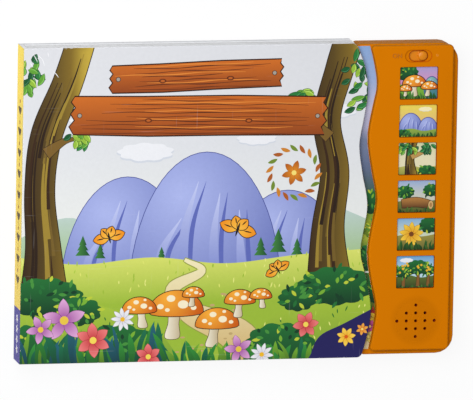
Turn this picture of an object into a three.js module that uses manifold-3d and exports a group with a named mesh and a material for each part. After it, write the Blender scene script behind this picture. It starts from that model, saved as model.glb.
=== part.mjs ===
// Children's sound book lying on its back, in millimetres.
// X runs from the spine to the sound module, Y from the tail to the head,
// and Z up through the front cover. A board book with a wavy fore-edge meets a moulded
// sound module of the same thickness, with six sprung picture buttons, a speaker and a switch.

import * as THREE from 'three';
import { mergeVertices } from 'three/addons/utils/BufferGeometryUtils.js';
import Module from 'manifold-3d';

const wasm = await Module();
wasm.setup();

// Book
const bookHeight = 215;
const bookThickness = 22;
const coverReach = 235; // mean distance from the spine's face to the cover's fore-edge
const boardThickness = 2.6;
const spineThickness = 2.6;
const boardGap = 0.3; // paper joint between boards, spine and leaves
const boardEdgeRound = 0.45;
const leafCount = 6;
const leafGroove = 0.25;
const middleGroove = 0.8; // the pages part a little in the middle of the block
const grooveDepth = 1.2;
const foreEdgeInset = 1.0; // the leaves stop short of the cover

// Wavy edges, as [share of the book's height, offset in wave units], from tail to head
const waveUnit = 10;
const coverWave = [
  [-0.5, -0.07], [-0.428, 0.36], [-0.349, 0.57], [-0.256, 0.25], [-0.166, -0.21], [-0.107, -0.07],
  [-0.013, 0.2], [0.093, -0.2], [0.179, -0.42], [0.259, -0.16], [0.339, 0.08], [0.419, -0.1],
  [0.5, -0.74],
];
const housingWave = [
  [-0.481, -0.07], [-0.419, 0.19], [-0.344, 0.38], [-0.251, -0.03], [-0.167, -0.26], [-0.093, -0.05],
  [0.003, 0.28], [0.102, -0.1], [0.2, -0.38], [0.293, -0.08], [0.361, 0.2], [0.428, 0.02],
  [0.493, -0.33],
];

// Sound module, outside
const shelfStrip = 6; // mean width of the shelf between the cover and the raised housing
const housingWidth = 54; // mean width of the raised housing
const moduleHeadMargin = 1.3;
const moduleTailMargin = 1.1;
const moduleClearance = 0.5; // between the leaves and the module's wavy wall
const ledgeRight = 3.8;
const ledgeHead = 0.8;
const ledgeTail = 3.0;
const shelfDrop = 4.2; // below the front cover's face
const faceDrop = 0.4;
const shellWall = 2.0;
const faceWall = 1.8;
const backRound = 2.0;
const shelfRound = 1.2;
const faceRound = 1.4;
const moduleCornerRadius = 12;
const housingCornerRadius = 3;
const innerCornerRadius = 2.4; // corners beside the book
const partingHeight = 10;
const seamGap = 0.3;
const lipHeight = 1.4;
const lipThickness = 0.85;
const tongueReach = 14; // glued strip under the last leaf
const tongueThickness = 0.9;
const tongueMargin = 8;
const rebateDepth = 1.1; // in the back board, for the tongue

// Windows and buttons
const windowCount = 6;
const windowWidth = 26.3;
const windowBar = 3.55; // between two windows
const windowsFromSpeaker = 4.55;
const windowFromRight = 27.8; // column's middle to the module's far side
const firstWindowFromHead = 14.6;
const windowCornerRadius = 0.8;
const windowRecess = 1.1;
const buttonClearance = 0.3;
const buttonTravel = 1.0;
const buttonPlate = 1.0;
const buttonRim = 1.5;
const flangeReach = 1.0;
const flangeThickness = 1.2;
const plungerRadius = 2.5;
const labelThickness = 0.2;
const labelGap = 0.05;
const labelMargin = 0.4;
const ribThickness = 1.0;
const ribDepth = 3.2;

// Speaker
const grilleRows = [1, 3, 5, 3, 1];
const grillePitchX = 6.45;
const grillePitchY = 5.4;
const grilleHoleRadius = 1.1;
const speakerFromTail = 5.5; // speaker's rim to the module's tail side
const speakerFromRight = 9.2;
const domeRadius = 14.6;
const domeRise = 0.4;
const speakerRadius = 17.8;
const speakerRimHeight = 1.0;
const speakerDepth = 5.6;
const speakerBackRadius = 12.5;
const gasketThickness = 0.5;
const gasketWidth = 2.2;
const magnetRadius = 9;
const magnetHeight = 4.6;
const coneThickness = 0.4;
const collarThickness = 1.3;
const collarDepth = 4.5;

// Switch
const switchFromHead = 7.2; // slot's middle to the housing's head side
const switchFromRight = 28.4;
const switchRecessLength = 18.7;
const switchRecessWidth = 8.5;
const switchRecessDepth = 0.8;
const switchSlotLength = 12.8;
const switchSlotWidth = 7.0;
const switchTravel = 5.0;
const knobRadius = 3.2;
const knobRise = 0.3; // above the housing's face
const knobCrown = 1.0;
const skirtThickness = 0.6;
const skirtWidth = 9.2;
const skirtOverlap = 1.0;
const drivePin = 1.6;
const switchBodyLength = 14.6;
const switchBodyWidth = 6.4;
const switchBodyHeight = 2.5;

// Circuit board and keypad
const boardPlateThickness = 1.6;
const boardPlateDrop = 6.6; // board's back face below the housing's inner face
const boardPlateWidth = 41;
const boardPlateTail = 45; // board's tail edge above the module's tail side
const boardPlateHead = 15; // board's head edge below the module's head side
const boardTabWidth = 26;
const matThickness = 0.5;
const matGap = 0.1;
const matWidth = 27.4;
const keyDomeRadius = 4.2;
const keyDomeHeight = 0.8;
const chipRadius = 6;
const chipHeight = 1.7;
const chipOffset = 9;
const chipFromTail = 26;

// Screws: head radius, head height, shank radius, shank length
const caseScrew = { head: 2.5, cap: 1.7, shank: 1.3, length: 11 };
const plateScrew = { head: 1.9, cap: 1.1, shank: 0.8, length: 4.2 };
const doorScrew = { head: 2.3, cap: 1.0, shank: 1.0, length: 5 };
const screwClearance = 0.3;
const crossWidth = 0.6;
const caseBossRadius = 3.3;
const caseBossFromSide = 5.2;
const caseBossFromWave = 7.5;
const caseBossFromHead = 8.4;
const caseBossFromTail = 5.6;
const counterboreDepth = 4;
const plateBossRadius = 2.4;
const plateBossInset = 3;
const plateBossFromHead = 16;
const plateBossFromTail = 12;

// Battery compartment, in the rear shell
const cellCount = 3;
const cellRadius = 5.8;
const cellHeight = 5.4;
const cellPitch = 12.4;
const cellClearance = 0.4;
const batteryFromRight = 27;
const batteryMiddle = 14; // compartment's middle above the book's middle
const batteryWall = 1.2;
const doorThickness = 2.0;
const doorGap = 0.3;
const doorWidth = 18;
const doorTabEnd = 23.2; // door's edges from the compartment's middle
const doorScrewEnd = 29.2;
const doorScrewInset = 4.4;
const doorCornerRadius = 2;
const doorLedge = 1.5;
const doorTabLength = 2;
const doorTabThickness = 1;
const doorTabWidth = 4;
const doorTabOffset = 5;
const gripGrooves = 3;
const gripGrooveDepth = 0.5;
const gripGrooveWidth = 0.8;
const stripThickness = 0.2;
const stripWidth = 9;
const stripGap = 0.3;
const tagWidth = 2;
const tagOffset = 4.6;
const endSlack = 0.9; // room for the upright contact at the end of the row

// Wires
const wireRadius = 0.6;
const wireSides = 6;

// Facets
const waveSteps = 28;
const cornerSteps = 5;
const innerCornerSteps = 3;
const roundSteps = 3;
const bossSides = 12;
const holeSides = 10;
const discSides = 24;

// Places worked out from the sizes above
const halfHeight = bookHeight / 2;
const shelfHeight = bookThickness - shelfDrop;
const housingHeight = bookThickness - faceDrop;
const housingReach = coverReach + shelfStrip;
const moduleRight = housingReach + housingWidth + ledgeRight;
const origin = moduleRight / 2;
const moduleHead = halfHeight - moduleHeadMargin;
const moduleTail = -halfHeight + moduleTailMargin;
const housingHead = moduleHead - ledgeHead;
const housingTail = moduleTail + ledgeTail;
const faceUnder = housingHeight - faceWall;
const grilleX = moduleRight - speakerFromRight - speakerRadius;
const grilleY = moduleTail + speakerFromTail + speakerRadius;
const windowX = moduleRight - windowFromRight;
const windowsHead = housingHead - firstWindowFromHead;
const windowsTail = grilleY + speakerRadius + windowsFromSpeaker;
const windowPitch = (windowsHead - windowsTail + windowBar) / windowCount;
const windowHeight = windowPitch - windowBar;
const windowYs = Array.from({ length: windowCount }, (_, index) =>
  windowsHead - windowHeight / 2 - index * windowPitch);
const switchX = moduleRight - switchFromRight;
const switchY = housingHead - switchFromHead;
const boardPlateHeight = faceUnder - boardPlateDrop;
const plateTop = boardPlateHeight + boardPlateThickness;
const plateHeadY = moduleHead - boardPlateHead;
const plateTailY = moduleTail + boardPlateTail;
const batteryX = moduleRight - batteryFromRight;

// Counterclockwise arc of points round a centre, from one angle to another in quarter turns.
function arc(x, y, radius, firstQuarter, lastQuarter, steps) {
  return Array.from({ length: steps + 1 }, (_, index) => {
    const angle = (firstQuarter + ((lastQuarter - firstQuarter) * index) / steps) * (Math.PI / 2);
    return new THREE.Vector2(x + radius * Math.cos(angle), y + radius * Math.sin(angle));
  });
}

// Smooth wave through its stations: a cubic with central differences for its slopes.
function waveAt(wave, y) {
  const share = y / bookHeight;
  const last = wave.length - 1;
  let index = 0;
  while (index < last - 1 && share > wave[index + 1][0]) index += 1;
  const slope = (at) => {
    const before = wave[Math.max(at - 1, 0)];
    const after = wave[Math.min(at + 1, last)];
    return (after[1] - before[1]) / (after[0] - before[0]);
  };
  const [shareA, offsetA] = wave[index];
  const [shareB, offsetB] = wave[index + 1];
  const span = shareB - shareA;
  const t = THREE.MathUtils.clamp((share - shareA) / span, 0, 1);
  const along = slope(index) * (t ** 3 - 2 * t ** 2 + t) + slope(index + 1) * (t ** 3 - t ** 2);
  const between = offsetA * (2 * t ** 3 - 3 * t ** 2 + 1) + offsetB * (3 * t ** 2 - 2 * t ** 3);
  return waveUnit * (between + span * along);
}

// Points along a wavy edge, pushed sideways by an inset measured square to the edge.
function waveEdge(wave, reach, fromY, toY, inset) {
  return Array.from({ length: waveSteps + 1 }, (_, index) => {
    const y = fromY + ((toY - fromY) * index) / waveSteps;
    const slope = waveAt(wave, y + 0.5) - waveAt(wave, y - 0.5);
    return new THREE.Vector2(reach + waveAt(wave, y) + inset * Math.hypot(1, slope), y);
  });
}

// Outline of the module or its housing: a wavy side next to the book, the rest straight.
function moduleOutline(form, inset = 0) {
  const head = form.head - inset;
  const tail = form.tail + inset;
  const right = form.right - inset;
  const outer = Math.max(form.outerRadius - inset, 0.4);
  const inner = Math.max(innerCornerRadius - inset, 0.4);
  const side = waveEdge(form.wave, form.reach, head - inner, tail + inner, inset);
  const first = side[0];
  const last = side[side.length - 1];
  return [
    ...arc(last.x + inner, tail + inner, inner, 2, 3, innerCornerSteps),
    ...arc(right - outer, tail + outer, outer, 3, 4, cornerSteps),
    ...arc(right - outer, head - outer, outer, 0, 1, cornerSteps),
    ...arc(first.x + inner, head - inner, inner, 1, 2, innerCornerSteps),
    ...side.slice(1, -1),
  ];
}

// Outline of a board or leaf: square at the spine, wavy at the fore-edge.
function leafOutline(left, reach, inset = 0) {
  const head = halfHeight - inset;
  return [
    new THREE.Vector2(left + inset, head),
    new THREE.Vector2(left + inset, -head),
    ...waveEdge(coverWave, reach, -head, head, -inset),
  ];
}

// Outline of a strip that lies between two wavy edges.
function stripOutline(leftWave, leftReach, rightWave, rightReach, tail, head) {
  return [
    ...waveEdge(rightWave, rightReach, tail, head, 0),
    ...waveEdge(leftWave, leftReach, head, tail, 0),
  ];
}

function rectangle(x, y, width, height, radius, steps = 2) {
  const dx = width / 2 - radius;
  const dy = height / 2 - radius;
  return [
    ...arc(x + dx, y + dy, radius, 0, 1, steps),
    ...arc(x - dx, y + dy, radius, 1, 2, steps),
    ...arc(x - dx, y - dy, radius, 2, 3, steps),
    ...arc(x + dx, y - dy, radius, 3, 4, steps),
  ];
}

function stadium(x, y, length, width) {
  const reach = (length - width) / 2;
  return [
    ...arc(x + reach, y, width / 2, -1, 1, 8),
    ...arc(x - reach, y, width / 2, 1, 3, 8),
  ];
}

// Closed geometry as a solid that can be joined and cut.
function solidOf(geometry) {
  geometry.deleteAttribute('normal');
  geometry.deleteAttribute('uv');
  const merged = mergeVertices(geometry, 1e-4);
  const place = merged.attributes.position;
  const corner = (index) => new THREE.Vector3().fromBufferAttribute(place, index);
  const triangles = [];
  let volume = 0;
  for (let index = 0; index < merged.index.count; index += 3) {
    const [a, b, c] = merged.index.array.slice(index, index + 3);
    if (a !== b && b !== c && c !== a) {
      triangles.push([a, b, c]);
      volume += corner(a).dot(corner(b).cross(corner(c)));
    }
  }
  const outward = triangles.map(([a, b, c]) => (volume > 0 ? [a, b, c] : [a, c, b]));
  return new wasm.Manifold(new wasm.Mesh({
    numProp: 3,
    vertProperties: new Float32Array(place.array),
    triVerts: new Uint32Array(outward.flat()),
  }));
}

// Solid through a stack of outlines with equal numbers of points, given as [outline, height].
function loft(...rings) {
  const count = rings[0][0].length;
  const positions = rings.flatMap(([outline, z]) => outline.flatMap((point) => [point.x, point.y, z]));
  const indices = [];
  for (let level = 0; level < rings.length - 1; level += 1) {
    for (let index = 0; index < count; index += 1) {
      const a = level * count + index;
      const b = level * count + ((index + 1) % count);
      indices.push(a, b, b + count, a, b + count, a + count);
    }
  }
  const lid = (count * (rings.length - 1));
  THREE.ShapeUtils.triangulateShape(rings[0][0], []).forEach(([a, b, c]) => indices.push(c, b, a));
  THREE.ShapeUtils.triangulateShape(rings[rings.length - 1][0], [])
    .forEach(([a, b, c]) => indices.push(lid + a, lid + b, lid + c));
  const geometry = new THREE.BufferGeometry();
  geometry.setAttribute('position', new THREE.Float32BufferAttribute(positions, 3));
  geometry.setIndex(indices);
  return solidOf(geometry);
}

function plate(outline, bottom, top) {
  return loft([outline, bottom], [outline, top]);
}

function box(x0, x1, y0, y1, z0, z1) {
  const geometry = new THREE.BoxGeometry(x1 - x0, y1 - y0, z1 - z0);
  geometry.translate((x0 + x1) / 2, (y0 + y1) / 2, (z0 + z1) / 2);
  return solidOf(geometry);
}

function cylinder(x, y, radius, bottom, top, sides = bossSides) {
  const geometry = new THREE.CylinderGeometry(radius, radius, top - bottom, sides);
  geometry.rotateX(Math.PI / 2);
  geometry.translate(x, y, (bottom + top) / 2);
  return solidOf(geometry);
}

// Turned solid: the profile is [radius, height] and starts and ends on the axis or closes.
function turned(x, y, profile, sides = discSides) {
  const points = profile.map(([radius, height]) => new THREE.Vector2(radius, height));
  const geometry = new THREE.LatheGeometry(points, sides);
  geometry.rotateX(Math.PI / 2);
  geometry.translate(x, y, 0);
  return solidOf(geometry);
}

// Round crown as profile points, from its rim up (or down) to the axis.
function crown(radius, base, rise, steps) {
  return Array.from({ length: steps + 1 }, (_, index) => {
    const angle = (index / steps) * (Math.PI / 2);
    return [index === steps ? 0 : radius * Math.cos(angle), base + rise * Math.sin(angle)];
  });
}

// Heights and insets of a rounded edge, rising from an outer wall to a flat face.
function edgeRound(radius, top) {
  return Array.from({ length: roundSteps + 1 }, (_, index) => {
    const angle = (index / roundSteps) * (Math.PI / 2);
    return [radius * (1 - Math.cos(angle)), top - radius * (1 - Math.sin(angle))];
  });
}

function finish(color, roughness, metalness = 0) {
  return new THREE.MeshStandardMaterial({ color, roughness, metalness, flatShading: true });
}

const orangePlastic = () => finish(0xd27a12, 0.35);
const boardPaper = () => finish(0xdfe0e4, 0.4);
const zincSteel = () => finish(0xb9bbbd, 0.35, 0.9);
const printPaper = (color) => finish(color, 0.35);

const book = new THREE.Group();
book.position.set(-origin, 0, 0);

function addPiece(name, solid, material) {
  const { vertProperties, triVerts } = solid.getMesh();
  const geometry = new THREE.BufferGeometry();
  geometry.setAttribute('position', new THREE.BufferAttribute(new Float32Array(vertProperties), 3));
  geometry.setIndex(new THREE.BufferAttribute(new Uint32Array(triVerts), 1));
  geometry.computeVertexNormals();
  const mesh = new THREE.Mesh(geometry, material);
  mesh.name = name;
  book.add(mesh);
}

// Cover boards with softened front or back edges; the spine stands between them.
const coverBottom = bookThickness - boardThickness;
const backBoardReach = coverReach - foreEdgeInset + moduleClearance - boardGap;

function frontCover() {
  const edges = edgeRound(boardEdgeRound, bookThickness);
  return loft(
    [leafOutline(0, coverReach), coverBottom],
    ...edges.map(([inset, z]) => [leafOutline(0, coverReach, inset), z]),
  );
}

function backCover() {
  const edges = edgeRound(boardEdgeRound, 0).reverse();
  const board = loft(
    ...edges.map(([inset, z]) => [leafOutline(0, backBoardReach, inset), -z]),
    [leafOutline(0, backBoardReach), boardThickness],
  );
  const reach = tongueReach + boardGap;
  const rebate = plate(
    stripOutline(coverWave, coverReach - reach, coverWave, coverReach + 1, -rebateHalf, rebateHalf),
    boardThickness - rebateDepth,
    boardThickness + 1,
  );
  return board.subtract(rebate);
}

// Leaves: one block, with a groove between each leaf and the next on its three open sides.
function pageBlock() {
  const left = spineThickness + boardGap;
  const reach = coverReach - foreEdgeInset;
  const bottom = boardThickness + boardGap;
  const grooves = (leafCount - 2) * leafGroove + middleGroove;
  const leaf = (coverBottom - boardGap - bottom - grooves) / leafCount;
  const rings = [];
  let z = bottom;
  for (let index = 0; index < leafCount; index += 1) {
    rings.push([leafOutline(left, reach), z]);
    z += leaf;
    rings.push([leafOutline(left, reach), z]);
    if (index < leafCount - 1) {
      rings.push([leafOutline(left, reach, grooveDepth), z]);
      z += index === leafCount / 2 - 1 ? middleGroove : leafGroove;
      rings.push([leafOutline(left, reach, grooveDepth), z]);
    }
  }
  return loft(...rings);
}

const tongueHalf = halfHeight - tongueMargin;
const rebateHalf = tongueHalf + boardGap;

addPiece('front_cover', frontCover(), printPaper(0xdfe0e4));
addPiece('back_cover', backCover(), printPaper(0xdfe0e4));
addPiece('spine', box(0, spineThickness, -halfHeight, halfHeight,
  boardThickness + boardGap, coverBottom - boardGap), printPaper(0xf4d766));
addPiece('page_block', pageBlock(), boardPaper());

// Module shells: the body follows the pages' wave, the raised housing has a wave of its own.
const bodyForm = {
  wave: coverWave,
  reach: coverReach - foreEdgeInset + moduleClearance,
  right: moduleRight,
  head: moduleHead,
  tail: moduleTail,
  outerRadius: moduleCornerRadius,
};
const housingForm = {
  wave: housingWave,
  reach: housingReach,
  right: moduleRight - ledgeRight,
  head: housingHead,
  tail: housingTail,
  outerRadius: housingCornerRadius,
};

const headBossY = housingHead - caseBossFromHead;
const tailBossY = housingTail + caseBossFromTail;
const caseBosses = [headBossY, tailBossY].flatMap((y) => [
  [housingReach + waveAt(housingWave, y) + caseBossFromWave, y],
  [moduleRight - ledgeRight - caseBossFromSide, y],
]);
const plateBossX = boardPlateWidth / 2 - plateBossInset;
const plateBosses = [plateHeadY - plateBossFromHead, plateTailY + plateBossFromTail]
  .flatMap((y) => [[windowX - plateBossX, y], [windowX + plateBossX, y]]);
const screwHoleRadius = (screw) => screw.shank + screwClearance;
const caseScrewSeat = counterboreDepth - screwClearance;

function grilleHoles() {
  return grilleRows.flatMap((count, row) => Array.from({ length: count }, (_, index) =>
    cylinder(
      grilleX + (index - (count - 1) / 2) * grillePitchX,
      grilleY + (row - (grilleRows.length - 1) / 2) * grillePitchY,
      grilleHoleRadius,
      faceUnder - 1,
      housingHeight + 1,
      holeSides,
    )));
}

function frontShell() {
  const base = partingHeight + seamGap / 2;
  const rebateTop = base + lipHeight + seamGap;
  const rebateInset = shellWall - lipThickness - seamGap;
  const outside = loft(
    [moduleOutline(bodyForm), base],
    ...edgeRound(shelfRound, shelfHeight).map(([inset, z]) => [moduleOutline(bodyForm, inset), z]),
    [moduleOutline(housingForm), shelfHeight],
    ...edgeRound(faceRound, housingHeight).map(([inset, z]) => [moduleOutline(housingForm, inset), z]),
  );
  const inside = loft(
    [moduleOutline(bodyForm, rebateInset), base - 1],
    [moduleOutline(bodyForm, rebateInset), rebateTop],
    [moduleOutline(bodyForm, shellWall), rebateTop],
    [moduleOutline(bodyForm, shellWall), shelfHeight - shellWall],
    [moduleOutline(housingForm, shellWall), shelfHeight - shellWall],
    [moduleOutline(housingForm, shellWall), faceUnder],
  );
  let shell = outside.subtract(inside);

  // Low round dome that carries the grille
  shell = shell.add(turned(grilleX, grilleY, [
    [0, faceUnder + 0.5],
    [domeRadius, faceUnder + 0.5],
    ...crown(domeRadius, housingHeight - 0.02, domeRise + 0.02, 3),
  ]));

  // Collar for the speaker, case bosses, board posts and the ribs between the buttons
  const collarRadius = speakerRadius + seamGap;
  shell = shell.add(turned(grilleX, grilleY, [
    [collarRadius, faceUnder - collarDepth],
    [collarRadius + collarThickness, faceUnder - collarDepth],
    [collarRadius + collarThickness, faceUnder + 0.5],
    [collarRadius, faceUnder + 0.5],
    [collarRadius, faceUnder - collarDepth],
  ]));
  for (const [x, y] of caseBosses) {
    shell = shell.add(cylinder(x, y, caseBossRadius, base, faceUnder + 0.5));
  }
  for (const [x, y] of plateBosses) {
    shell = shell.add(cylinder(x, y, plateBossRadius, plateTop + seamGap, faceUnder + 0.5));
  }
  windowYs.slice(1).forEach((y) => {
    const middle = y + windowPitch / 2;
    const reach = windowWidth / 2 + flangeReach;
    shell = shell.add(box(windowX - reach, windowX + reach, middle - ribThickness / 2,
      middle + ribThickness / 2, faceUnder - ribDepth, faceUnder + 0.5));
  });

  for (const [x, y] of caseBosses) {
    const top = caseScrewSeat + caseScrew.length + 1;
    shell = shell.subtract(cylinder(x, y, screwHoleRadius(caseScrew), base - 1, top, holeSides));
  }
  for (const [x, y] of plateBosses) {
    const top = boardPlateHeight + plateScrew.length + 0.4;
    shell = shell.subtract(cylinder(x, y, screwHoleRadius(plateScrew), plateTop, top, holeSides));
  }
  for (const y of windowYs) {
    shell = shell.subtract(plate(
      rectangle(windowX, y, windowWidth, windowHeight, windowCornerRadius),
      faceUnder - 1,
      housingHeight + 1,
    ));
  }
  for (const hole of grilleHoles()) shell = shell.subtract(hole);
  return shell
    .subtract(plate(stadium(switchX, switchY, switchRecessLength, switchRecessWidth),
      housingHeight - switchRecessDepth, housingHeight + 1))
    .subtract(plate(stadium(switchX, switchY, switchSlotLength, switchSlotWidth),
      faceUnder - 1, housingHeight + 1));
}

// Battery compartment: a row of cells in a walled pocket over the door's opening.
const pocketHalfWidth = cellRadius + cellClearance;
const pocketHalfLength = ((cellCount - 1) / 2) * cellPitch + cellRadius + endSlack;
const lowerStrip = doorThickness + stripGap;
const cellBottom = lowerStrip + stripThickness + stripGap;
const upperStrip = cellBottom + cellHeight + stripGap;
const pocketTop = upperStrip + stripThickness + stripGap;
const doorRecess = doorThickness + doorGap;
const doorMiddle = batteryMiddle + (doorScrewEnd - doorTabEnd) / 2;
const doorLength = doorScrewEnd + doorTabEnd;
const doorScrewY = batteryMiddle + doorScrewEnd - doorScrewInset;
const uprightHeight = 7;
const cellYs = Array.from({ length: cellCount }, (_, index) =>
  batteryMiddle + (index - (cellCount - 1) / 2) * cellPitch);

function doorTabs(clearance) {
  return [-doorTabOffset, doorTabOffset].map((offset) => box(
    batteryX + offset - doorTabWidth / 2 - clearance,
    batteryX + offset + doorTabWidth / 2 + clearance,
    batteryMiddle - doorTabEnd - doorTabLength - clearance,
    batteryMiddle - doorTabEnd + 0.5,
    doorThickness - doorTabThickness - clearance,
    doorThickness + clearance,
  ));
}

function rearShell() {
  const top = partingHeight - seamGap / 2;
  const lipInset = shellWall - lipThickness;
  const backEdge = edgeRound(backRound, 0).reverse();
  let shell = loft(
    ...backEdge.map(([inset, z]) => [moduleOutline(bodyForm, inset), -z]),
    [moduleOutline(bodyForm), top],
    [moduleOutline(bodyForm, lipInset), top],
    [moduleOutline(bodyForm, lipInset), partingHeight + lipHeight],
  );
  shell = shell.subtract(plate(moduleOutline(bodyForm, shellWall), shellWall, bookThickness));

  // Tongue glued between the back board and the last leaf
  const tongueTop = boardThickness - labelGap;
  shell = shell.add(plate(
    stripOutline(coverWave, coverReach - tongueReach, coverWave, bodyForm.reach + 1.2,
      -tongueHalf, tongueHalf),
    tongueTop - tongueThickness,
    tongueTop,
  ));

  for (const [x, y] of caseBosses) {
    shell = shell.add(cylinder(x, y, caseBossRadius, shellWall - 0.5, top));
  }
  shell = shell
    .add(plate(rectangle(batteryX, doorMiddle, doorWidth + 5, doorLength + 7, doorCornerRadius),
      shellWall - 0.5, doorRecess + doorLedge))
    .add(box(batteryX - pocketHalfWidth - batteryWall, batteryX + pocketHalfWidth + batteryWall,
      batteryMiddle - pocketHalfLength - batteryWall, batteryMiddle + pocketHalfLength + batteryWall,
      doorRecess, pocketTop + batteryWall))
    .add(cylinder(batteryX, doorScrewY, doorScrew.shank + 2, doorRecess, doorScrew.length + 3));

  for (const [x, y] of caseBosses) {
    shell = shell
      .subtract(cylinder(x, y, screwHoleRadius(caseScrew), -1, top + 1, holeSides))
      .subtract(cylinder(x, y, caseScrew.head + screwClearance, -1, counterboreDepth, holeSides));
  }
  shell = shell
    .subtract(plate(rectangle(batteryX, doorMiddle, doorWidth + 2 * doorGap,
      doorLength + 2 * doorGap, doorCornerRadius + doorGap), -1, doorRecess))
    .subtract(box(batteryX - pocketHalfWidth, batteryX + pocketHalfWidth,
      batteryMiddle - pocketHalfLength, batteryMiddle + pocketHalfLength, doorRecess - 1, pocketTop))
    .subtract(cylinder(batteryX, doorScrewY, screwHoleRadius(doorScrew), 0, doorScrew.length + 2,
      holeSides));
  for (const tab of doorTabs(doorGap)) shell = shell.subtract(tab);

  // Slots in the end walls for the two contact tags
  const slotHalf = tagWidth / 2 + stripGap;
  const tagX = batteryX + tagOffset;
  return shell
    .subtract(box(tagX - slotHalf, tagX + slotHalf, batteryMiddle + pocketHalfLength - 0.5,
      batteryMiddle + pocketHalfLength + batteryWall + 1, upperStrip - stripGap, pocketTop))
    .subtract(box(tagX - slotHalf, tagX + slotHalf, batteryMiddle - pocketHalfLength - batteryWall - 1,
      batteryMiddle - pocketHalfLength + 0.5, uprightHeight - stripThickness - stripGap,
      uprightHeight + stripGap));
}

addPiece('front_shell', frontShell(), orangePlastic());
addPiece('rear_shell', rearShell(), orangePlastic());

// Printed strip on the shelf, from under the cover's edge to the foot of the housing
addPiece('shelf_label', plate(
  stripOutline(coverWave, bodyForm.reach + shelfRound, housingWave, housingReach - labelMargin,
    moduleTail + 4, moduleHead - shelfRound),
  shelfHeight + labelGap,
  shelfHeight + labelGap + labelThickness,
), printPaper(0x6f86a8));

// Buttons: a hollow cap with a flange under the face and a plunger over its key dome
const capTop = housingHeight - windowRecess - labelThickness - labelGap;
const flangeTop = faceUnder - buttonClearance;
const capWidth = windowWidth - 2 * buttonClearance;
const capHeight = windowHeight - 2 * buttonClearance;
const keyDomeTop = plateTop + matGap + matThickness + keyDomeHeight;
const plungerBottom = keyDomeTop + buttonTravel + buttonClearance;

function buttonCap(y) {
  const bottom = flangeTop - flangeThickness;
  return plate(rectangle(windowX, y, capWidth, capHeight, windowCornerRadius), bottom, capTop)
    .add(plate(rectangle(windowX, y, capWidth + 2 * flangeReach, capHeight + 2 * flangeReach,
      windowCornerRadius), bottom, flangeTop))
    .subtract(box(windowX - capWidth / 2 + buttonRim, windowX + capWidth / 2 - buttonRim,
      y - capHeight / 2 + buttonRim, y + capHeight / 2 - buttonRim, bottom - 1, capTop - buttonPlate))
    .add(cylinder(windowX, y, plungerRadius, plungerBottom, capTop - buttonPlate / 2));
}

windowYs.forEach((y, index) => {
  addPiece(`button_${index + 1}`, buttonCap(y), finish(0xe9e4d8, 0.4));
  const outline = rectangle(windowX, y, capWidth - labelMargin, capHeight - labelMargin,
    windowCornerRadius);
  addPiece(`button_label_${index + 1}`,
    plate(outline, capTop + labelGap, capTop + labelGap + labelThickness), printPaper(0x8fb3d9));
});

// Switch: a domed knob with a skirt under the face, and a pin that drives the slide switch
const skirtLength = switchSlotLength + switchTravel + 2 * skirtOverlap;
const knobX = switchX + (switchSlotLength - knobRadius * 2) / 2 - buttonClearance;
const skirtX = switchX + switchTravel / 2;
const skirtTop = faceUnder - buttonClearance;
const switchBodyTop = plateTop + matGap + switchBodyHeight;
const switchWell = 1.4;

addPiece('switch_knob', turned(knobX, switchY, [
  [0, skirtTop - 0.2],
  [knobRadius, skirtTop - 0.2],
  ...crown(knobRadius, housingHeight + knobRise - knobCrown, knobCrown, 4),
], 20)
  .add(plate(rectangle(skirtX, switchY, skirtLength, skirtWidth, 1), skirtTop - skirtThickness, skirtTop))
  .add(box(knobX - drivePin / 2, knobX + drivePin / 2, switchY - drivePin / 2, switchY + drivePin / 2,
    switchBodyTop - switchWell + seamGap, skirtTop - skirtThickness / 2)), finish(0xe0871a, 0.4));

const pinRoom = drivePin / 2 + 0.4;
const switchBodyX = knobX - switchTravel / 2;
addPiece('switch_body', box(switchBodyX - switchBodyLength / 2, switchBodyX + switchBodyLength / 2,
  switchY - switchBodyWidth / 2, switchY + switchBodyWidth / 2, plateTop + matGap, switchBodyTop)
  .subtract(box(knobX - switchTravel - pinRoom, knobX + pinRoom, switchY - pinRoom, switchY + pinRoom,
    switchBodyTop - switchWell, switchBodyTop + 1)), zincSteel());

// Circuit board with a tab under the switch, keypad mat, and the chip under its black drop
function circuitBoard() {
  const half = boardPlateWidth / 2;
  const tabHead = switchY + switchBodyWidth / 2 + 0.9;
  let board = box(windowX - half, windowX + half, plateTailY, plateHeadY, boardPlateHeight, plateTop)
    .add(box(windowX - boardTabWidth / 2, windowX + boardTabWidth / 2, plateHeadY - 1, tabHead,
      boardPlateHeight, plateTop));
  for (const [x, y] of plateBosses) {
    board = board.subtract(cylinder(x, y, screwHoleRadius(plateScrew), boardPlateHeight - 1,
      plateTop + 1, holeSides));
  }
  return board;
}

function keypadMat() {
  const bottom = plateTop + matGap;
  const top = bottom + matThickness;
  const lastY = windowYs[windowCount - 1];
  const margin = capHeight / 2;
  let mat = box(windowX - matWidth / 2, windowX + matWidth / 2, lastY - margin, windowYs[0] + margin,
    bottom, top);
  for (const y of windowYs) {
    const base = top - 0.1;
    mat = mat.add(turned(windowX, y, [
      [0, base],
      ...crown(keyDomeRadius, base, keyDomeHeight + 0.1, 3),
    ], bossSides));
  }
  return mat;
}

addPiece('circuit_board', circuitBoard(), finish(0x2f6b3a, 0.5));
addPiece('keypad_mat', keypadMat(), finish(0xc9c9c4, 0.7));
addPiece('chip_blob', turned(windowX - chipOffset, plateTailY + chipFromTail, [
  [0, boardPlateHeight - matGap],
  ...crown(chipRadius, boardPlateHeight - matGap, -chipHeight, 3),
], 16), finish(0x151515, 0.3));

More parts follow.
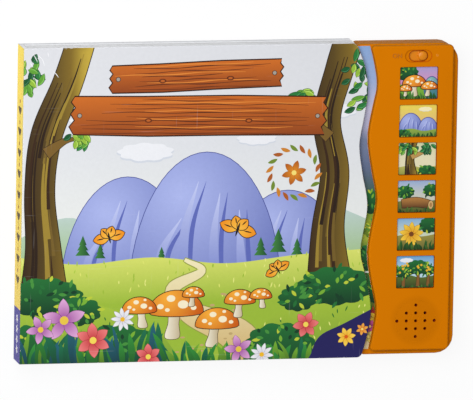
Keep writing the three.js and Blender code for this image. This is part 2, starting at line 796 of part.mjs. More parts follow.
// Cross-head screw with its head down, seated at a height; the shank points up.
function screwSolid(x, y, seat, size) {
  const half = crossWidth / 2;
  const arm = size.head * 0.7;
  const head = turned(x, y, [
    [0, seat - size.cap],
    [size.head * 0.8, seat - size.cap],
    [size.head, seat - size.cap * 0.5],
    [size.head, seat],
    [size.shank, seat],
    [size.shank, seat + size.length - size.shank],
    [0, seat + size.length],
  ], bossSides);
  const depth = seat - size.cap * 0.35;
  return head
    .subtract(box(x - arm, x + arm, y - half, y + half, seat - size.cap - 1, depth))
    .subtract(box(x - half, x + half, y - arm, y + arm, seat - size.cap - 1, depth));
}

caseBosses.forEach(([x, y], index) => {
  addPiece(`case_screw_${index + 1}`, screwSolid(x, y, caseScrewSeat, caseScrew), zincSteel());
});
plateBosses.forEach(([x, y], index) => {
  const seat = boardPlateHeight - screwClearance;
  addPiece(`pcb_screw_${index + 1}`, screwSolid(x, y, seat, plateScrew), zincSteel());
});

// Battery door with two tabs, a screw in a counterbore and grip grooves
const doorBore = doorScrew.cap + 0.1;

function batteryDoor() {
  let door = plate(rectangle(batteryX, doorMiddle, doorWidth, doorLength, doorCornerRadius), 0,
    doorThickness);
  for (const tab of doorTabs(0)) door = door.add(tab);
  for (let index = 0; index < gripGrooves; index += 1) {
    const y = batteryMiddle - doorTabEnd + 3 + index * gripGrooveWidth * 2;
    door = door.subtract(box(batteryX - 5, batteryX + 5, y, y + gripGrooveWidth, -1, gripGrooveDepth));
  }
  return door
    .subtract(cylinder(batteryX, doorScrewY, screwHoleRadius(doorScrew), -1, doorThickness + 1, holeSides))
    .subtract(cylinder(batteryX, doorScrewY, doorScrew.head + screwClearance, -1, doorBore + 0.2, holeSides));
}

addPiece('battery_door', batteryDoor(), orangePlastic());
addPiece('battery_door_screw', screwSolid(batteryX, doorScrewY, doorBore, doorScrew), zincSteel());

// Button cells, with contacts that join them in a row
cellYs.forEach((y, index) => {
  addPiece(`battery_cell_${index + 1}`, turned(batteryX, y, [
    [0, cellBottom],
    [cellRadius - 0.9, cellBottom],
    [cellRadius - 0.9, cellBottom + 0.5],
    [cellRadius, cellBottom + 0.9],
    [cellRadius, cellBottom + cellHeight],
    [0, cellBottom + cellHeight],
  ]), zincSteel());
});

function strip(fromY, toY, bottom) {
  return box(batteryX - stripWidth / 2, batteryX + stripWidth / 2, fromY, toY, bottom,
    bottom + stripThickness);
}

const cellEdge = cellRadius - 1;
const tagLeft = batteryX + tagOffset - tagWidth / 2;
const tagRight = batteryX + tagOffset + tagWidth / 2;
const tagReach = pocketHalfLength + batteryWall + 0.6;
const uprightY = batteryMiddle - pocketHalfLength + stripGap;
addPiece('battery_bridge_upper', strip(cellYs[0] - cellEdge, cellYs[1] + cellEdge - 1, upperStrip),
  zincSteel());
addPiece('battery_bridge_lower', strip(cellYs[1] - cellEdge + 1, cellYs[2] + cellEdge, lowerStrip),
  zincSteel());
addPiece('battery_contact_positive', strip(cellYs[2] - cellEdge + 1, cellYs[2] + cellEdge, upperStrip)
  .add(box(tagLeft, tagRight, cellYs[2], batteryMiddle + tagReach, upperStrip,
    upperStrip + stripThickness)), zincSteel());
addPiece('battery_contact_negative', strip(uprightY, cellYs[0] + cellEdge - 1, lowerStrip)
  .add(box(tagLeft, tagRight, uprightY, uprightY + stripThickness, lowerStrip, uprightHeight))
  .add(box(tagLeft, tagRight, batteryMiddle - tagReach, uprightY + stripThickness,
    uprightHeight - stripThickness, uprightHeight)), zincSteel());

// Speaker: gasket against the face, pressed steel frame, paper cone and magnet
const rimTop = faceUnder - gasketThickness - 2 * matGap;
const frameBottom = rimTop - speakerDepth;
const steel = 0.8;
const poleRadius = 3.4;

addPiece('speaker_gasket', turned(grilleX, grilleY, [
  [speakerRadius - gasketWidth, faceUnder - matGap - gasketThickness],
  [speakerRadius, faceUnder - matGap - gasketThickness],
  [speakerRadius, faceUnder - matGap],
  [speakerRadius - gasketWidth, faceUnder - matGap],
  [speakerRadius - gasketWidth, faceUnder - matGap - gasketThickness],
]), finish(0x2a2a2a, 0.9));
addPiece('speaker_frame', turned(grilleX, grilleY, [
  [poleRadius, frameBottom],
  [speakerBackRadius, frameBottom],
  [speakerRadius - 2, rimTop - speakerRimHeight - 0.6],
  [speakerRadius, rimTop - speakerRimHeight],
  [speakerRadius, rimTop],
  [speakerRadius - 3, rimTop],
  [speakerBackRadius - 0.5, frameBottom + steel],
  [poleRadius, frameBottom + steel],
  [poleRadius, frameBottom],
]), zincSteel());
addPiece('speaker_cone', turned(grilleX, grilleY, [
  [0, frameBottom + 2.2],
  [4.6, frameBottom + 2.2],
  [speakerRadius - 3.7, rimTop - coneThickness],
  [speakerRadius - 3.4, rimTop],
  [speakerRadius - 3.9, rimTop],
  [4.6, frameBottom + 2.2 + coneThickness],
  [0, frameBottom + 3.4],
]), finish(0x1c1c1c, 0.8));
addPiece('speaker_magnet', turned(grilleX, grilleY, [
  [0, frameBottom - seamGap - magnetHeight],
  [magnetRadius - 0.5, frameBottom - seamGap - magnetHeight],
  [magnetRadius, frameBottom - seamGap - magnetHeight + 0.5],
  [magnetRadius, frameBottom - seamGap],
  [0, frameBottom - seamGap],
]), finish(0x4a4a4c, 0.5, 0.6));

// Wire along points chosen by hand, from one soldered end to the other
function wire(points) {
  const section = new THREE.Shape().absarc(0, 0, wireRadius, 0, Math.PI * 2);
  const path = new THREE.CatmullRomCurve3(points.map((point) => new THREE.Vector3(...point)));
  return solidOf(new THREE.ExtrudeGeometry(section, {
    curveSegments: wireSides / 2,
    steps: 14,
    bevelEnabled: false,
    extrudePath: path,
  }));
}

const plateUnder = boardPlateHeight - seamGap;
const speakerUnder = frameBottom - seamGap;
const tagX = batteryX + tagOffset;
const positiveTag = batteryMiddle + tagReach + seamGap;
const negativeTag = batteryMiddle - tagReach - seamGap;
const positiveHeight = upperStrip + stripThickness / 2;
const negativeHeight = uprightHeight - stripThickness / 2;

[['red', -1], ['black', 1]].forEach(([color, side]) => {
  addPiece(`speaker_wire_${color}`, wire([
    [grilleX + side * 4, plateTailY + 3, plateUnder],
    [grilleX + side * 4, plateTailY + 2.4, plateUnder - 1.6],
    [grilleX + side * 4.6, plateTailY - 4, plateUnder - 3.4],
    [grilleX + side * 5.4, grilleY + speakerBackRadius + 0.9, plateUnder - 2.8],
    [grilleX + side * 5.6, grilleY + speakerBackRadius - 1.6, speakerUnder - 1],
    [grilleX + side * 5.6, grilleY + speakerBackRadius - 1.7, speakerUnder],
  ]), finish(color === 'red' ? 0xb02020 : 0x181818, 0.5));
});
addPiece('battery_wire_red', wire([
  [tagX, positiveTag, positiveHeight],
  [tagX, positiveTag + 1.6, positiveHeight],
  [tagX + 1.2, positiveTag + 5, positiveHeight + 0.8],
  [tagX + 2, positiveTag + 7.6, plateUnder - 1.2],
  [tagX + 2, positiveTag + 7.8, plateUnder],
]), finish(0xb02020, 0.5));
addPiece('battery_wire_black', wire([
  [tagX, negativeTag, negativeHeight],
  [tagX, negativeTag - 1.6, negativeHeight],
  [tagX - 1.2, negativeTag - 5, negativeHeight + 1.6],
  [tagX - 2, negativeTag - 7.6, plateUnder - 1.6],
  [tagX - 2, negativeTag - 7.8, plateUnder],
]), finish(0x181818, 0.5));

export default book;
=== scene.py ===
import math

import bmesh
import bpy
import numpy as np
from mathutils import Matrix, Vector
from mathutils.geometry import delaunay_2d_cdt


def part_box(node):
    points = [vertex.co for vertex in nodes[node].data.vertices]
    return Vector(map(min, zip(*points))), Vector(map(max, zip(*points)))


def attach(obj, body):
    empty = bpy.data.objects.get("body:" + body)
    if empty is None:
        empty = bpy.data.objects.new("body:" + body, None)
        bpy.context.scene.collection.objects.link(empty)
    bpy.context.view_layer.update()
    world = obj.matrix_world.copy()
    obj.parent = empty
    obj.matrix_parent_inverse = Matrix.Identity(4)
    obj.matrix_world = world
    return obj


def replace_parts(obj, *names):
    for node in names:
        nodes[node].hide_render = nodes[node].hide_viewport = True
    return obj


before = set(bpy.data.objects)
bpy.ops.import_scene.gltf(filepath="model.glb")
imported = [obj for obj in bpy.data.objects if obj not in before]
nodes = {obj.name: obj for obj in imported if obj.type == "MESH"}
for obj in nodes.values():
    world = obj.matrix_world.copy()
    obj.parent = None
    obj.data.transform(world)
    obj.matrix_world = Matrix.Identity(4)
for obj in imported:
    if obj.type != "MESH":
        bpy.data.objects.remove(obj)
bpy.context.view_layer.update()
mm = 0.001
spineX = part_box("spine")[0][0]

# Camera and lights: a long lens that leans over the book's head and spine side
viewSettings = {
    "lean": (-math.tan(math.radians(11.7)), math.tan(math.radians(10.2)), 1.0),
    "aim": (-0.0026, 0.0021, 0.022),
    "lens": 1000,
    "distance": 8.836,
    "clip": (0.1, 40),
    "roll": 1.0,
    "keyPlace": (-0.6, 0.5, 1.2),
    "keySize": 1.2,
    "keyPower": 18.5,
    "world": (0.325, 0.33, 0.34, 1),
    "worldStrength": 1.0,
}


def makeView(settings):
    lean = Vector(settings["lean"]).normalized()
    side = Vector((0, 1, 0)).cross(lean).normalized()
    turn = Matrix((side, lean.cross(side), lean)).transposed().to_4x4()
    camera = bpy.data.objects.new("camera", bpy.data.cameras.new("camera"))
    camera.data.lens = settings["lens"]
    camera.data.clip_start, camera.data.clip_end = settings["clip"]
    camera.matrix_world = (
        Matrix.Translation(Vector(settings["aim"]) + lean * settings["distance"])
        @ turn
        @ Matrix.Rotation(math.radians(settings["roll"]), 4, "Z")
    )
    bpy.context.scene.collection.objects.link(camera)
    bpy.context.scene.camera = camera
    light = bpy.data.objects.new("key", bpy.data.lights.new("key", "AREA"))
    light.data.energy = settings["keyPower"]
    light.data.size = settings["keySize"]
    light.location = settings["keyPlace"]
    light.rotation_euler = Vector(settings["keyPlace"]).to_track_quat("Z", "Y").to_euler()
    bpy.context.scene.collection.objects.link(light)
    world = bpy.data.worlds.new("studio")
    world.use_nodes = True
    backdrop = world.node_tree.nodes["Background"]
    backdrop.inputs["Color"].default_value = settings["world"]
    backdrop.inputs["Strength"].default_value = settings["worldStrength"]
    bpy.context.scene.world = world
    bpy.context.scene.view_settings.view_transform = "Standard"


def linear(color):
    # screen value 0 to 255 to light: the usual 2.4 power with its straight foot
    share = np.asarray(color, float) / 255
    return np.where(share <= 0.04045, share / 12.92, ((share + 0.055) / 1.055) ** 2.4)


def srgb(*color):
    # a node's colour from its three screen values
    return (*linear(color), 1)


def addNode(tree, kind, inputs=None, **settings):
    # settings go on the node; an input is another node's socket or a plain value
    made = tree.nodes.new(kind)
    for key, value in settings.items():
        setattr(made, key, value)
    for key, value in (inputs or {}).items():
        if isinstance(value, bpy.types.NodeSocket):
            tree.links.new(value, made.inputs[key])
        else:
            made.inputs[key].default_value = value
    return made


def calc(tree, operation, *values, clamp=False):
    fields = dict(enumerate(values))
    return addNode(tree, "ShaderNodeMath", fields, operation=operation, use_clamp=clamp).outputs[0]


def mixColor(tree, share, first, second):
    mixed = addNode(tree, "ShaderNodeMix", {0: share, 6: first, 7: second}, data_type="RGBA")
    return mixed.outputs[2]


def scaled(tree, color, factor):
    fields = {0: color, "Scale": factor}
    return addNode(tree, "ShaderNodeVectorMath", fields, operation="SCALE").outputs[0]


def axisOf(tree, vector, axis):
    return addNode(tree, "ShaderNodeSeparateXYZ", {0: vector}).outputs[axis]


def remap(tree, value, fromLow, fromHigh, toLow=0.0, toHigh=1.0):
    fields = {"Value": value, "From Min": fromLow, "From Max": fromHigh, "To Min": toLow, "To Max": toHigh}
    return addNode(tree, "ShaderNodeMapRange", fields).outputs[0]


def noise(tree, place, scale, detail=3.0):
    fields = {"Vector": place, "Scale": scale, "Detail": detail, "Roughness": 0.55}
    return addNode(tree, "ShaderNodeTexNoise", fields).outputs["Fac"]


def stretched(tree, place, scale, turn=0.0):
    fields = {"Vector": place, "Scale": scale, "Rotation": (0, 0, turn)}
    return addNode(tree, "ShaderNodeMapping", fields).outputs[0]


def startEffect(name, inputs):
    # a group whose inputs take their kind from their first value: a number, a place or a colour
    tree = bpy.data.node_groups.new(name, "ShaderNodeTree")
    for label, value in inputs.items():
        kind = "Float" if isinstance(value, float) else {3: "Vector", 4: "Color"}[len(value)]
        socket = tree.interface.new_socket(label, in_out="INPUT", socket_type=f"NodeSocket{kind}")
        socket.default_value = value
    spot = addNode(tree, "ShaderNodeTexCoord").outputs
    return tree, tree.nodes.new("NodeGroupInput").outputs, spot["Object"], spot["Normal"]


def finishEffect(tree, color, roughness, height):
    values = {"Color": color, "Roughness": roughness, "Height": height}
    for label in values:
        kind = "NodeSocketColor" if label == "Color" else "NodeSocketFloat"
        tree.interface.new_socket(label, in_out="OUTPUT", socket_type=kind)
    result = tree.nodes.new("NodeGroupOutput").inputs
    for label, value in values.items():
        tree.links.new(value, result[label])
    return tree


white = (1, 1, 1, 1)


def makeMouldedGrain():
    # spark-eroded mould texture: fine grain for height, slow flow marks for colour, thin rubs for gloss;
    # painted shade in one round patch and on upright walls
    tree, given, place, normal = startEffect("mouldedGrain", {
        "Color": white, "Grain": 3200.0, "Flow": 0.08, "Roughness": 0.4, "Shade": 0.0,
        "Shade Place": (0, 0, 0), "Shade Reach": 0.02, "Side Shade Color": white, "Side": 0.0,
    })
    grain = noise(tree, place, given["Grain"], 2.0)
    flow = noise(tree, stretched(tree, place, (22, 7, 22), 0.3), 1.0)
    rubs = noise(tree, stretched(tree, place, (260, 22, 260), 0.7), 1.0, 4.0)
    tone = remap(tree, flow, 0.3, 0.7, -1.0, 1.0)
    shift = calc(tree, "MULTIPLY_ADD", tone, given["Flow"], 1.0)
    grained = calc(tree, "ADD", shift, remap(tree, grain, 0.3, 0.7, -0.025, 0.025))
    # painted shade: one round patch, even inside its reach and gone just outside it
    fields = {0: place, 1: given["Shade Place"]}
    away = addNode(tree, "ShaderNodeVectorMath", fields, operation="DISTANCE").outputs["Value"]
    patch = remap(tree, calc(tree, "DIVIDE", away, given["Shade Reach"]), 0.86, 1.08, 1.0, 0.0)
    shaded = calc(tree, "SUBTRACT", grained, calc(tree, "MULTIPLY", patch, given["Shade"]))
    # painted shade: walls that stand upright take a deeper tone, standing in for the shade that falls on
    # the sides
    level = calc(tree, "ABSOLUTE", axisOf(tree, normal, "Z"))
    side = calc(tree, "MULTIPLY", calc(tree, "SUBTRACT", 1.0, level), given["Side"])
    rough = calc(tree, "ADD", given["Roughness"], remap(tree, grain, 0.3, 0.7, -0.05, 0.06))
    rub = calc(tree, "MULTIPLY", remap(tree, rubs, 0.62, 0.72), 0.09)
    color = mixColor(tree, side, scaled(tree, given["Color"], shaded), given["Side Shade Color"])
    return finishEffect(tree, color, calc(tree, "ADD", rough, rub, clamp=True), grain)


def makePrintLaminate():
    # glossy film on printed paper: slight ink mottle, board telegraphing through, hairline rubs
    inputs = {"Color": white, "Rub": 0.5, "Roughness": 0.3}
    tree, given, place, _ = startEffect("printLaminate", inputs)
    mottle = remap(tree, noise(tree, place, 420, 4.0), 0.3, 0.7, 0.985, 1.02)
    board = noise(tree, place, 160, 2.0)
    hairs = noise(tree, stretched(tree, place, (900, 28, 900), 0.9), 1.0, 2.0)
    crossed = noise(tree, stretched(tree, place, (34, 800, 800), 0.4), 1.0, 2.0)
    lines = remap(tree, calc(tree, "MAXIMUM", hairs, crossed), 0.7, 0.78)
    rub = calc(tree, "MULTIPLY", lines, given["Rub"])
    faint = calc(tree, "MULTIPLY", rub, 0.16)
    color = mixColor(tree, faint, scaled(tree, given["Color"], mottle), srgb(236, 236, 238))
    rough = calc(tree, "ADD", given["Roughness"], calc(tree, "MULTIPLY", rub, 0.25), clamp=True)
    return finishEffect(tree, color, rough, board)


def makeBoardFibre():
    # cut grey board: long fibres along the edge, plies as faint level lines, specks
    inputs = {"Color": white, "Ply": 2600.0, "Contrast": 0.12}
    tree, given, place, _ = startEffect("boardFibre", inputs)
    fibres = noise(tree, stretched(tree, place, (90, 90, 2400)), 1.0, 4.0)
    specks = noise(tree, place, 1900, 2.0)
    plies = calc(tree, "SINE", calc(tree, "MULTIPLY", axisOf(tree, place, "Z"), given["Ply"]))
    streaks = remap(tree, fibres, 0.3, 0.7, -1.0, 1.0)
    mixed = calc(tree, "ADD", streaks, calc(tree, "MULTIPLY", plies, 0.35))
    tone = calc(tree, "MULTIPLY_ADD", mixed, given["Contrast"], 0.97)
    speckled = calc(tree, "SUBTRACT", tone, remap(tree, specks, 0.66, 0.74, 0.0, 0.16))
    rough = remap(tree, fibres, 0.3, 0.7, 0.72, 0.88)
    return finishEffect(tree, scaled(tree, given["Color"], speckled), rough, fibres)


def makeMetalFinish():
    # plated sheet metal: fine rolling lines with a few dull spots
    tree, given, place, _ = startEffect("metalFinish", {"Color": white, "Roughness": 0.3})
    lines = noise(tree, stretched(tree, place, (5200, 260, 800), 0.5), 1.0)
    dull = remap(tree, noise(tree, place, 480), 0.52, 0.68)
    color = mixColor(tree, calc(tree, "MULTIPLY", dull, 0.4), given["Color"], srgb(120, 118, 112))
    rough = calc(tree, "ADD", given["Roughness"], remap(tree, lines, 0.3, 0.7, -0.08, 0.1))
    rough = calc(tree, "ADD", rough, calc(tree, "MULTIPLY", dull, 0.15), clamp=True)
    return finishEffect(tree, color, rough, lines)


effects = {
    "moulded": makeMouldedGrain(),
    "print": makePrintLaminate(),
    "board": makeBoardFibre(),
    "metal": makeMetalFinish(),
}


def makeMaterial(name, effectName, fields, bump, attribute=None, gloss=0.5, coat=0.0, metallic=0.0):
    # one shared group feeds colour, roughness and a bump whose depth is in metres
    material = bpy.data.materials.new(name)
    material.use_nodes = True
    tree = material.node_tree
    surface = tree.nodes["Principled BSDF"]
    effect = addNode(tree, "ShaderNodeGroup", node_tree=effects[effectName])
    for key, value in fields.items():
        effect.inputs[key].default_value = value
    if attribute:
        painted = addNode(tree, "ShaderNodeAttribute", attribute_name=attribute)
        tree.links.new(painted.outputs["Color"], effect.inputs["Color"])
    heights = {"Strength": 1.0, "Distance": bump, "Height": effect.outputs["Height"]}
    relief = addNode(tree, "ShaderNodeBump", heights)
    tree.links.new(effect.outputs["Color"], surface.inputs["Base Color"])
    tree.links.new(effect.outputs["Roughness"], surface.inputs["Roughness"])
    tree.links.new(relief.outputs[0], surface.inputs["Normal"])
    finish = {"Specular IOR Level": gloss, "Coat Weight": coat, "Metallic": metallic}
    for key, value in finish.items():
        surface.inputs[key].default_value = value
    return material


def plastic(name, color, roughness=0.4, flow=0.05, grain=3200.0, bump=0.00002, **finish):
    fields = {"Color": srgb(*color), "Grain": grain, "Flow": flow, "Roughness": roughness}
    return makeMaterial(name, "moulded", fields, bump, **finish)


def film(name, rub, roughness, gloss):
    fields = {"Rub": rub, "Roughness": roughness}
    return makeMaterial(name, "print", fields, 0.000004, "printColor", gloss)


def board(name, color, contrast):
    return makeMaterial(name, "board", {"Color": srgb(*color), "Contrast": contrast}, 0.00003)


def metal(name, color, roughness):
    fields = {"Color": srgb(*color), "Roughness": roughness}
    return makeMaterial(name, "metal", fields, 0.000006, metallic=1.0)


materials = {
    "orange": plastic("orange_plastic", (217, 122, 1), 0.46, 0.03, gloss=0.02),
    # painted shade: the darker tone of the ring in the switch recess's corner
    "rim": plastic("rim_painted_shade_plastic", (190, 88, 4), 0.5, 0.03, gloss=0.05),
    # painted shade: the darker tone of the opening walls and of the slot's rim
    "recess": plastic("recess_painted_shade_plastic", (172, 66, 6), 0.5, 0.03, gloss=0.05),
    "knob": plastic("knob_plastic", (226, 134, 8), 0.32, 0.02, 4200.0, 0.000012, gloss=0.35),
    # the caps' own plastic, darker than the face partly as painted shade: the strip of cap round each
    # picture reads as the shaded gap
    "cap": plastic("cap_plastic_and_painted_shade", (190, 112, 22), 0.46, 0.02, gloss=0.2),
    "print": film("printed_film", 0.5, 0.34, 0.3),
    "label": film("label_film", 0.3, 0.36, 0.3),
    "spinePaper": film("spine_paper", 0.5, 0.5, 0.12),
    "paper": makeMaterial(
        "board_paper", "print", {"Color": srgb(232, 232, 234), "Rub": 0.2, "Roughness": 0.5}, 0.000015),
    "boardEdge": board("board_edge", (226, 227, 230), 0.05),
    "backEdge": board("back_board_edge", (208, 209, 212), 0.05),
    # painted shade in the wide grooves between the leaves
    "pageGapShade": board("page_gap_painted_shade", (182, 181, 180), 0.08),
    "pageEdge": board("page_edge", (232, 233, 235), 0.06),
    "laminate": plastic("circuit_laminate", (38, 104, 58), 0.35, 0.18, 900.0, 0.00001, coat=0.4),
    "resin": plastic("chip_resin", (18, 18, 19), 0.22, 0.3, 700.0, 0.00003),
    "rubber": plastic("keypad_rubber", (196, 196, 190), 0.62, 0.06, 2400.0, 0.00001),
    "gasket": plastic("gasket_foam", (36, 36, 38), 0.9, 0.2, 2600.0, 0.0001),
    # partly painted light: the cone's bright red stands in for orange light that comes through the thin
    # plastic round the speaker holes
    "cone": plastic("cone_paper", (168, 40, 26), 0.85, 0.2, 1500.0, 0.00006),
    "ferrite": plastic("magnet_ferrite", (62, 62, 64), 0.55, 0.2, 1800.0, 0.00003),
    "wireRed": plastic("wire_red", (182, 30, 28)),
    "wireBlack": plastic("wire_black", (26, 26, 27), 0.4, 0.1),
    "screw": metal("screw_steel", (196, 196, 194), 0.28),
    "contact": metal("contact_steel", (206, 205, 200), 0.22),
    "cell": metal("cell_steel", (212, 212, 212), 0.2),
    "speakerSteel": metal("speaker_steel", (188, 190, 192), 0.34),
}
print("stage: materials", len(materials))


def curveThrough(values, share):
    # equally spaced values; a cubic in each span with the slopes of its neighbours
    values = np.asarray(values, float)
    slopes = np.gradient(values)
    at = np.clip(np.asarray(share) * (len(values) - 1), 0, len(values) - 1 - 1e-9)
    index = at.astype(int)
    t = at - index
    return (
        values[index] * (2 * t**3 - 3 * t**2 + 1)
        + slopes[index] * (t**3 - 2 * t**2 + t)
        + values[index + 1] * (3 * t**2 - 2 * t**3)
        + slopes[index + 1] * (t**3 - t**2)
    )


def nodePoints(name):
    # a node's corners in millimetres, with X from the spine
    mesh = nodes[name].data
    points = np.empty(len(mesh.vertices) * 3)
    mesh.vertices.foreach_get("co", points)
    return (points.reshape(-1, 3) - (spineX, 0, 0)) / mm


def edgeStations(name, level, side, slack=0.02):
    # X of a node's wavy edge at its equally spaced heights, at one level
    points = nodePoints(name)
    points = points[abs(points[:, 2] - level) < slack]
    heights = np.unique(np.round(points[:, 1], 2))
    pick = np.max if side > 0 else np.min
    return np.array([pick(points[abs(points[:, 1] - height) < slack, 0]) for height in heights])


def placed(points, level=None):
    points = np.asarray(points, float)
    if level is not None:
        points = np.column_stack((points, np.full(len(points), level)))
    return points * mm + (spineX, 0, 0)


def newPiece(name, vertices, faces, body, material, smooth=True):
    mesh = bpy.data.meshes.new(name)
    mesh.from_pydata(np.asarray(vertices).tolist(), [], faces)
    mesh.polygons.foreach_set("use_smooth", np.full(len(mesh.polygons), smooth))
    mesh.materials.append(materials[material])
    mesh.update()
    piece = bpy.data.objects.new(name, mesh)
    bpy.context.scene.collection.objects.link(piece)
    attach(piece, body)
    return piece


def ringPoints(rings):
    return np.vstack([np.column_stack((outline, np.full(len(outline), level))) for outline, level in rings])


def ringQuads(count, levels, closed=False):
    # quads between neighbouring rings; a closed section also joins the last ring to the first
    base = np.arange(count)
    start = np.arange(levels if closed else levels - 1)[:, None] * count
    after, turn = (start + count) % (count * levels), (base + 1) % count
    quads = np.stack((start + base, start + turn, after + turn, after + base), axis=-1)
    return quads.reshape(-1, 4).tolist()


def loft(name, rings, body, material, sharp=35):
    # rings of one count joined by quads, with a lid at each end
    count = len(rings[0][0])
    lids = [list(range(count))[::-1], list(range(count * (len(rings) - 1), count * len(rings)))]
    faces = ringQuads(count, len(rings)) + lids
    piece = newPiece(name, placed(ringPoints(rings)), faces, body, material)
    piece.data.set_sharp_from_angle(angle=math.radians(sharp))
    return piece


# Cover board and leaves: the CAD outlines with a finer wave and rolled edges
bookFacts = {
    "head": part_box("front_cover")[1][1] / mm,
    "top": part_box("front_cover")[1][2] / mm,
    "bottom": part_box("front_cover")[0][2] / mm,
    "waveFrom": 200,  # past this the outline is the wavy side
    "edgeSteps": 4,
    "edgeRound": 0.45,
    "creases": (0.12, 0.4, 1.0),  # where the print folds over the rolled edge
    "printInset": 0.01,
    "paperLift": 0.03,
    "corner": 2.6,
    "cornerSteps": 8,
    "leafGaps": (0.6, 0.12, 0.12, 0.7, 0.12, 0.6),
    "leafShifts": (0.0, 0.12, 0.04, 0.16, 0.02, 0.1),
    "leafRound": ((0.22, 0.0), (0.08, 0.06), (0.0, 0.2)),
    "groove": 1.4,
    "wideGap": 0.5,
}
coverStations = edgeStations("front_cover", bookFacts["bottom"], 1)
pageStations = edgeStations("page_block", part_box("page_block")[1][2] / mm, 1)


def leafOutline(stations, left, inset=0.0, corner=0.0, points=220):
    # straight spine side, head and tail; the wavy side is moved in along its own normal,
    # and a corner radius is kept round the same middle, so it shrinks with the inset
    head, radius, steps = bookFacts["head"], max(corner - inset, 0.0), bookFacts["cornerSteps"]
    turn = np.linspace(0, math.pi / 2, steps + 1)[1:]
    rise, back = radius * np.sin(turn), radius * (1 - np.cos(turn))
    reach = head - inset - radius
    y = np.concatenate((-reach - rise[::-1], np.linspace(-reach, reach, points), reach + rise))
    back = np.concatenate((back[::-1], np.zeros(points), back))
    line = np.linspace(-head, head, points)
    slope = np.interp(y, line, np.gradient(curveThrough(stations, np.linspace(0, 1, points)), line))
    x = curveThrough(stations, (y + head) / (2 * head)) - inset * np.hypot(1, slope) - back
    wavy = np.column_stack((x, y))
    if not corner:
        wavy = wavy[steps:-steps]
    return np.vstack((((left + inset, head - inset), (left + inset, -head + inset)), wavy))


def coverOutline(inset):
    return leafOutline(coverStations, 0, inset, bookFacts["corner"])


def makeCoverBoard(facts):
    # quarter circle of inset round the front face, straight walls below it
    quarter = np.linspace(0, math.pi / 2, facts["edgeSteps"] + 1)
    insets, drops = facts["edgeRound"] * (1 - np.cos(quarter)), facts["edgeRound"] * (1 - np.sin(quarter))
    rings = [(coverOutline(0.0), facts["bottom"])]
    rings += [(coverOutline(inset), facts["top"] - drop) for inset, drop in zip(insets, drops)]
    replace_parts(loft("cover_board", rings, "cover", "boardEdge"), "front_cover")


def makeLeaves(facts):
    # a set-back groove under each leaf, then the leaf with its rounded edges; wide grooves and the rounded
    # edge under them are greyer, as painted shade between the leaves
    low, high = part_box("page_block")
    gaps, wide = facts["leafGaps"], facts["wideGap"]
    thick = ((high[2] - low[2]) / mm - sum(gaps)) / len(gaps)
    level, left = low[2] / mm, (low[0] - spineX) / mm
    rolled = facts["leafRound"]
    section = rolled + tuple((inset, thick - rise) for inset, rise in rolled[::-1])
    rings, grey = [], []
    for gap, above, shift in zip(gaps, gaps[1:] + (0.0,), facts["leafShifts"]):
        rings += [(leafOutline(pageStations, left, facts["groove"]), level + rise) for rise in (0.0, gap)]
        level += gap
        rings += [(leafOutline(pageStations, left, shift + inset), level + rise) for inset, rise in section]
        # painted shade: the rings of a wide groove and of the rounded edge just below it
        grey += [gap > wide] * 2 + [False] * len(rolled) + [above > wide] * len(rolled)
        level += thick
    block = loft("page_leaves", rings, "book", "pageEdge", 50)
    block.data.materials.append(materials["pageGapShade"])
    tones = np.repeat(np.array(grey[:-1], int), len(rings[0][0]))
    block.data.polygons.foreach_set("material_index", np.append(tones, (0, 0)))
    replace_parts(block, "page_block")


makeCoverBoard(bookFacts)
makeLeaves(bookFacts)
print("stage: book boards")


def smoothLine(points, steps=8, closed=False):
    # each span is the cubic whose slopes come from the points on either side
    points = np.asarray(points, float)
    if closed:
        loop = np.vstack((points[-1:], points, points[:2]))
    else:
        loop = np.vstack((2 * points[:1] - points[1:2], points, 2 * points[-1:] - points[-2:-1]))
    a, b, c, d = loop[:-3], loop[1:-2], loop[2:-1], loop[3:]
    t = np.linspace(0, 1, steps, endpoint=False)[:, None, None]
    curve = 0.5 * (2 * b + (c - a) * t + (2 * a - 5 * b + 4 * c - d) * t**2
                   + (3 * b - a - 3 * c + d) * t**3)
    curve = curve.transpose(1, 0, 2).reshape(-1, points.shape[1])
    return curve if closed else np.vstack((curve, points[-1:]))


def turned(points, angle, x=0.0, y=0.0):
    # turned round the origin by degrees, then moved
    c, s = math.cos(math.radians(angle)), math.sin(math.radians(angle))
    return np.asarray(points, float) @ np.array(((c, s), (-s, c))) + (x, y)


def blob(x, y, rx, ry, lobes=0, depth=0.0, turn=0.0, points=36):
    # an ellipse whose reach swells with the size of a sine, once for each lobe
    angle = np.linspace(0, 2 * math.pi, points, endpoint=False)
    reach = 1 + depth * abs(np.sin(lobes * angle / 2 + turn))
    return np.column_stack((x + rx * reach * np.cos(angle), y + ry * reach * np.sin(angle)))


def leaf(x, y, length, width, angle, bend=0.0, points=8):
    # half a sine wave on either side of a middle line that bends as a parabola
    t = np.linspace(0, 1, points)
    half = width / 2 * np.sin(math.pi * t) ** 0.8
    middle = bend * length * 4 * t * (1 - t)
    upper = np.column_stack((t * length, middle + half))
    lower = np.column_stack((t * length, middle - half))[::-1][1:-1]
    return turned(np.vstack((upper, lower)), angle, x, y)


def ribbon(points, widths, steps=8):
    # half the width set off to either side of a smooth line, at right angles to it
    line = smoothLine(np.column_stack((points, widths)), steps)
    along = np.gradient(line[:, :2], axis=0)
    across = np.column_stack((-along[:, 1], along[:, 0])) / np.hypot(along[:, 0], along[:, 1])[:, None]
    half = across * line[:, 2:] / 2
    return np.vstack((line[:, :2] + half, (line[:, :2] - half)[::-1]))


def ridge(points, floor=-125.0):
    # all that lies between a smooth line and the floor
    line = smoothLine(points, 8)
    return np.vstack((line, ((line[-1, 0], floor), (line[0, 0], floor))))


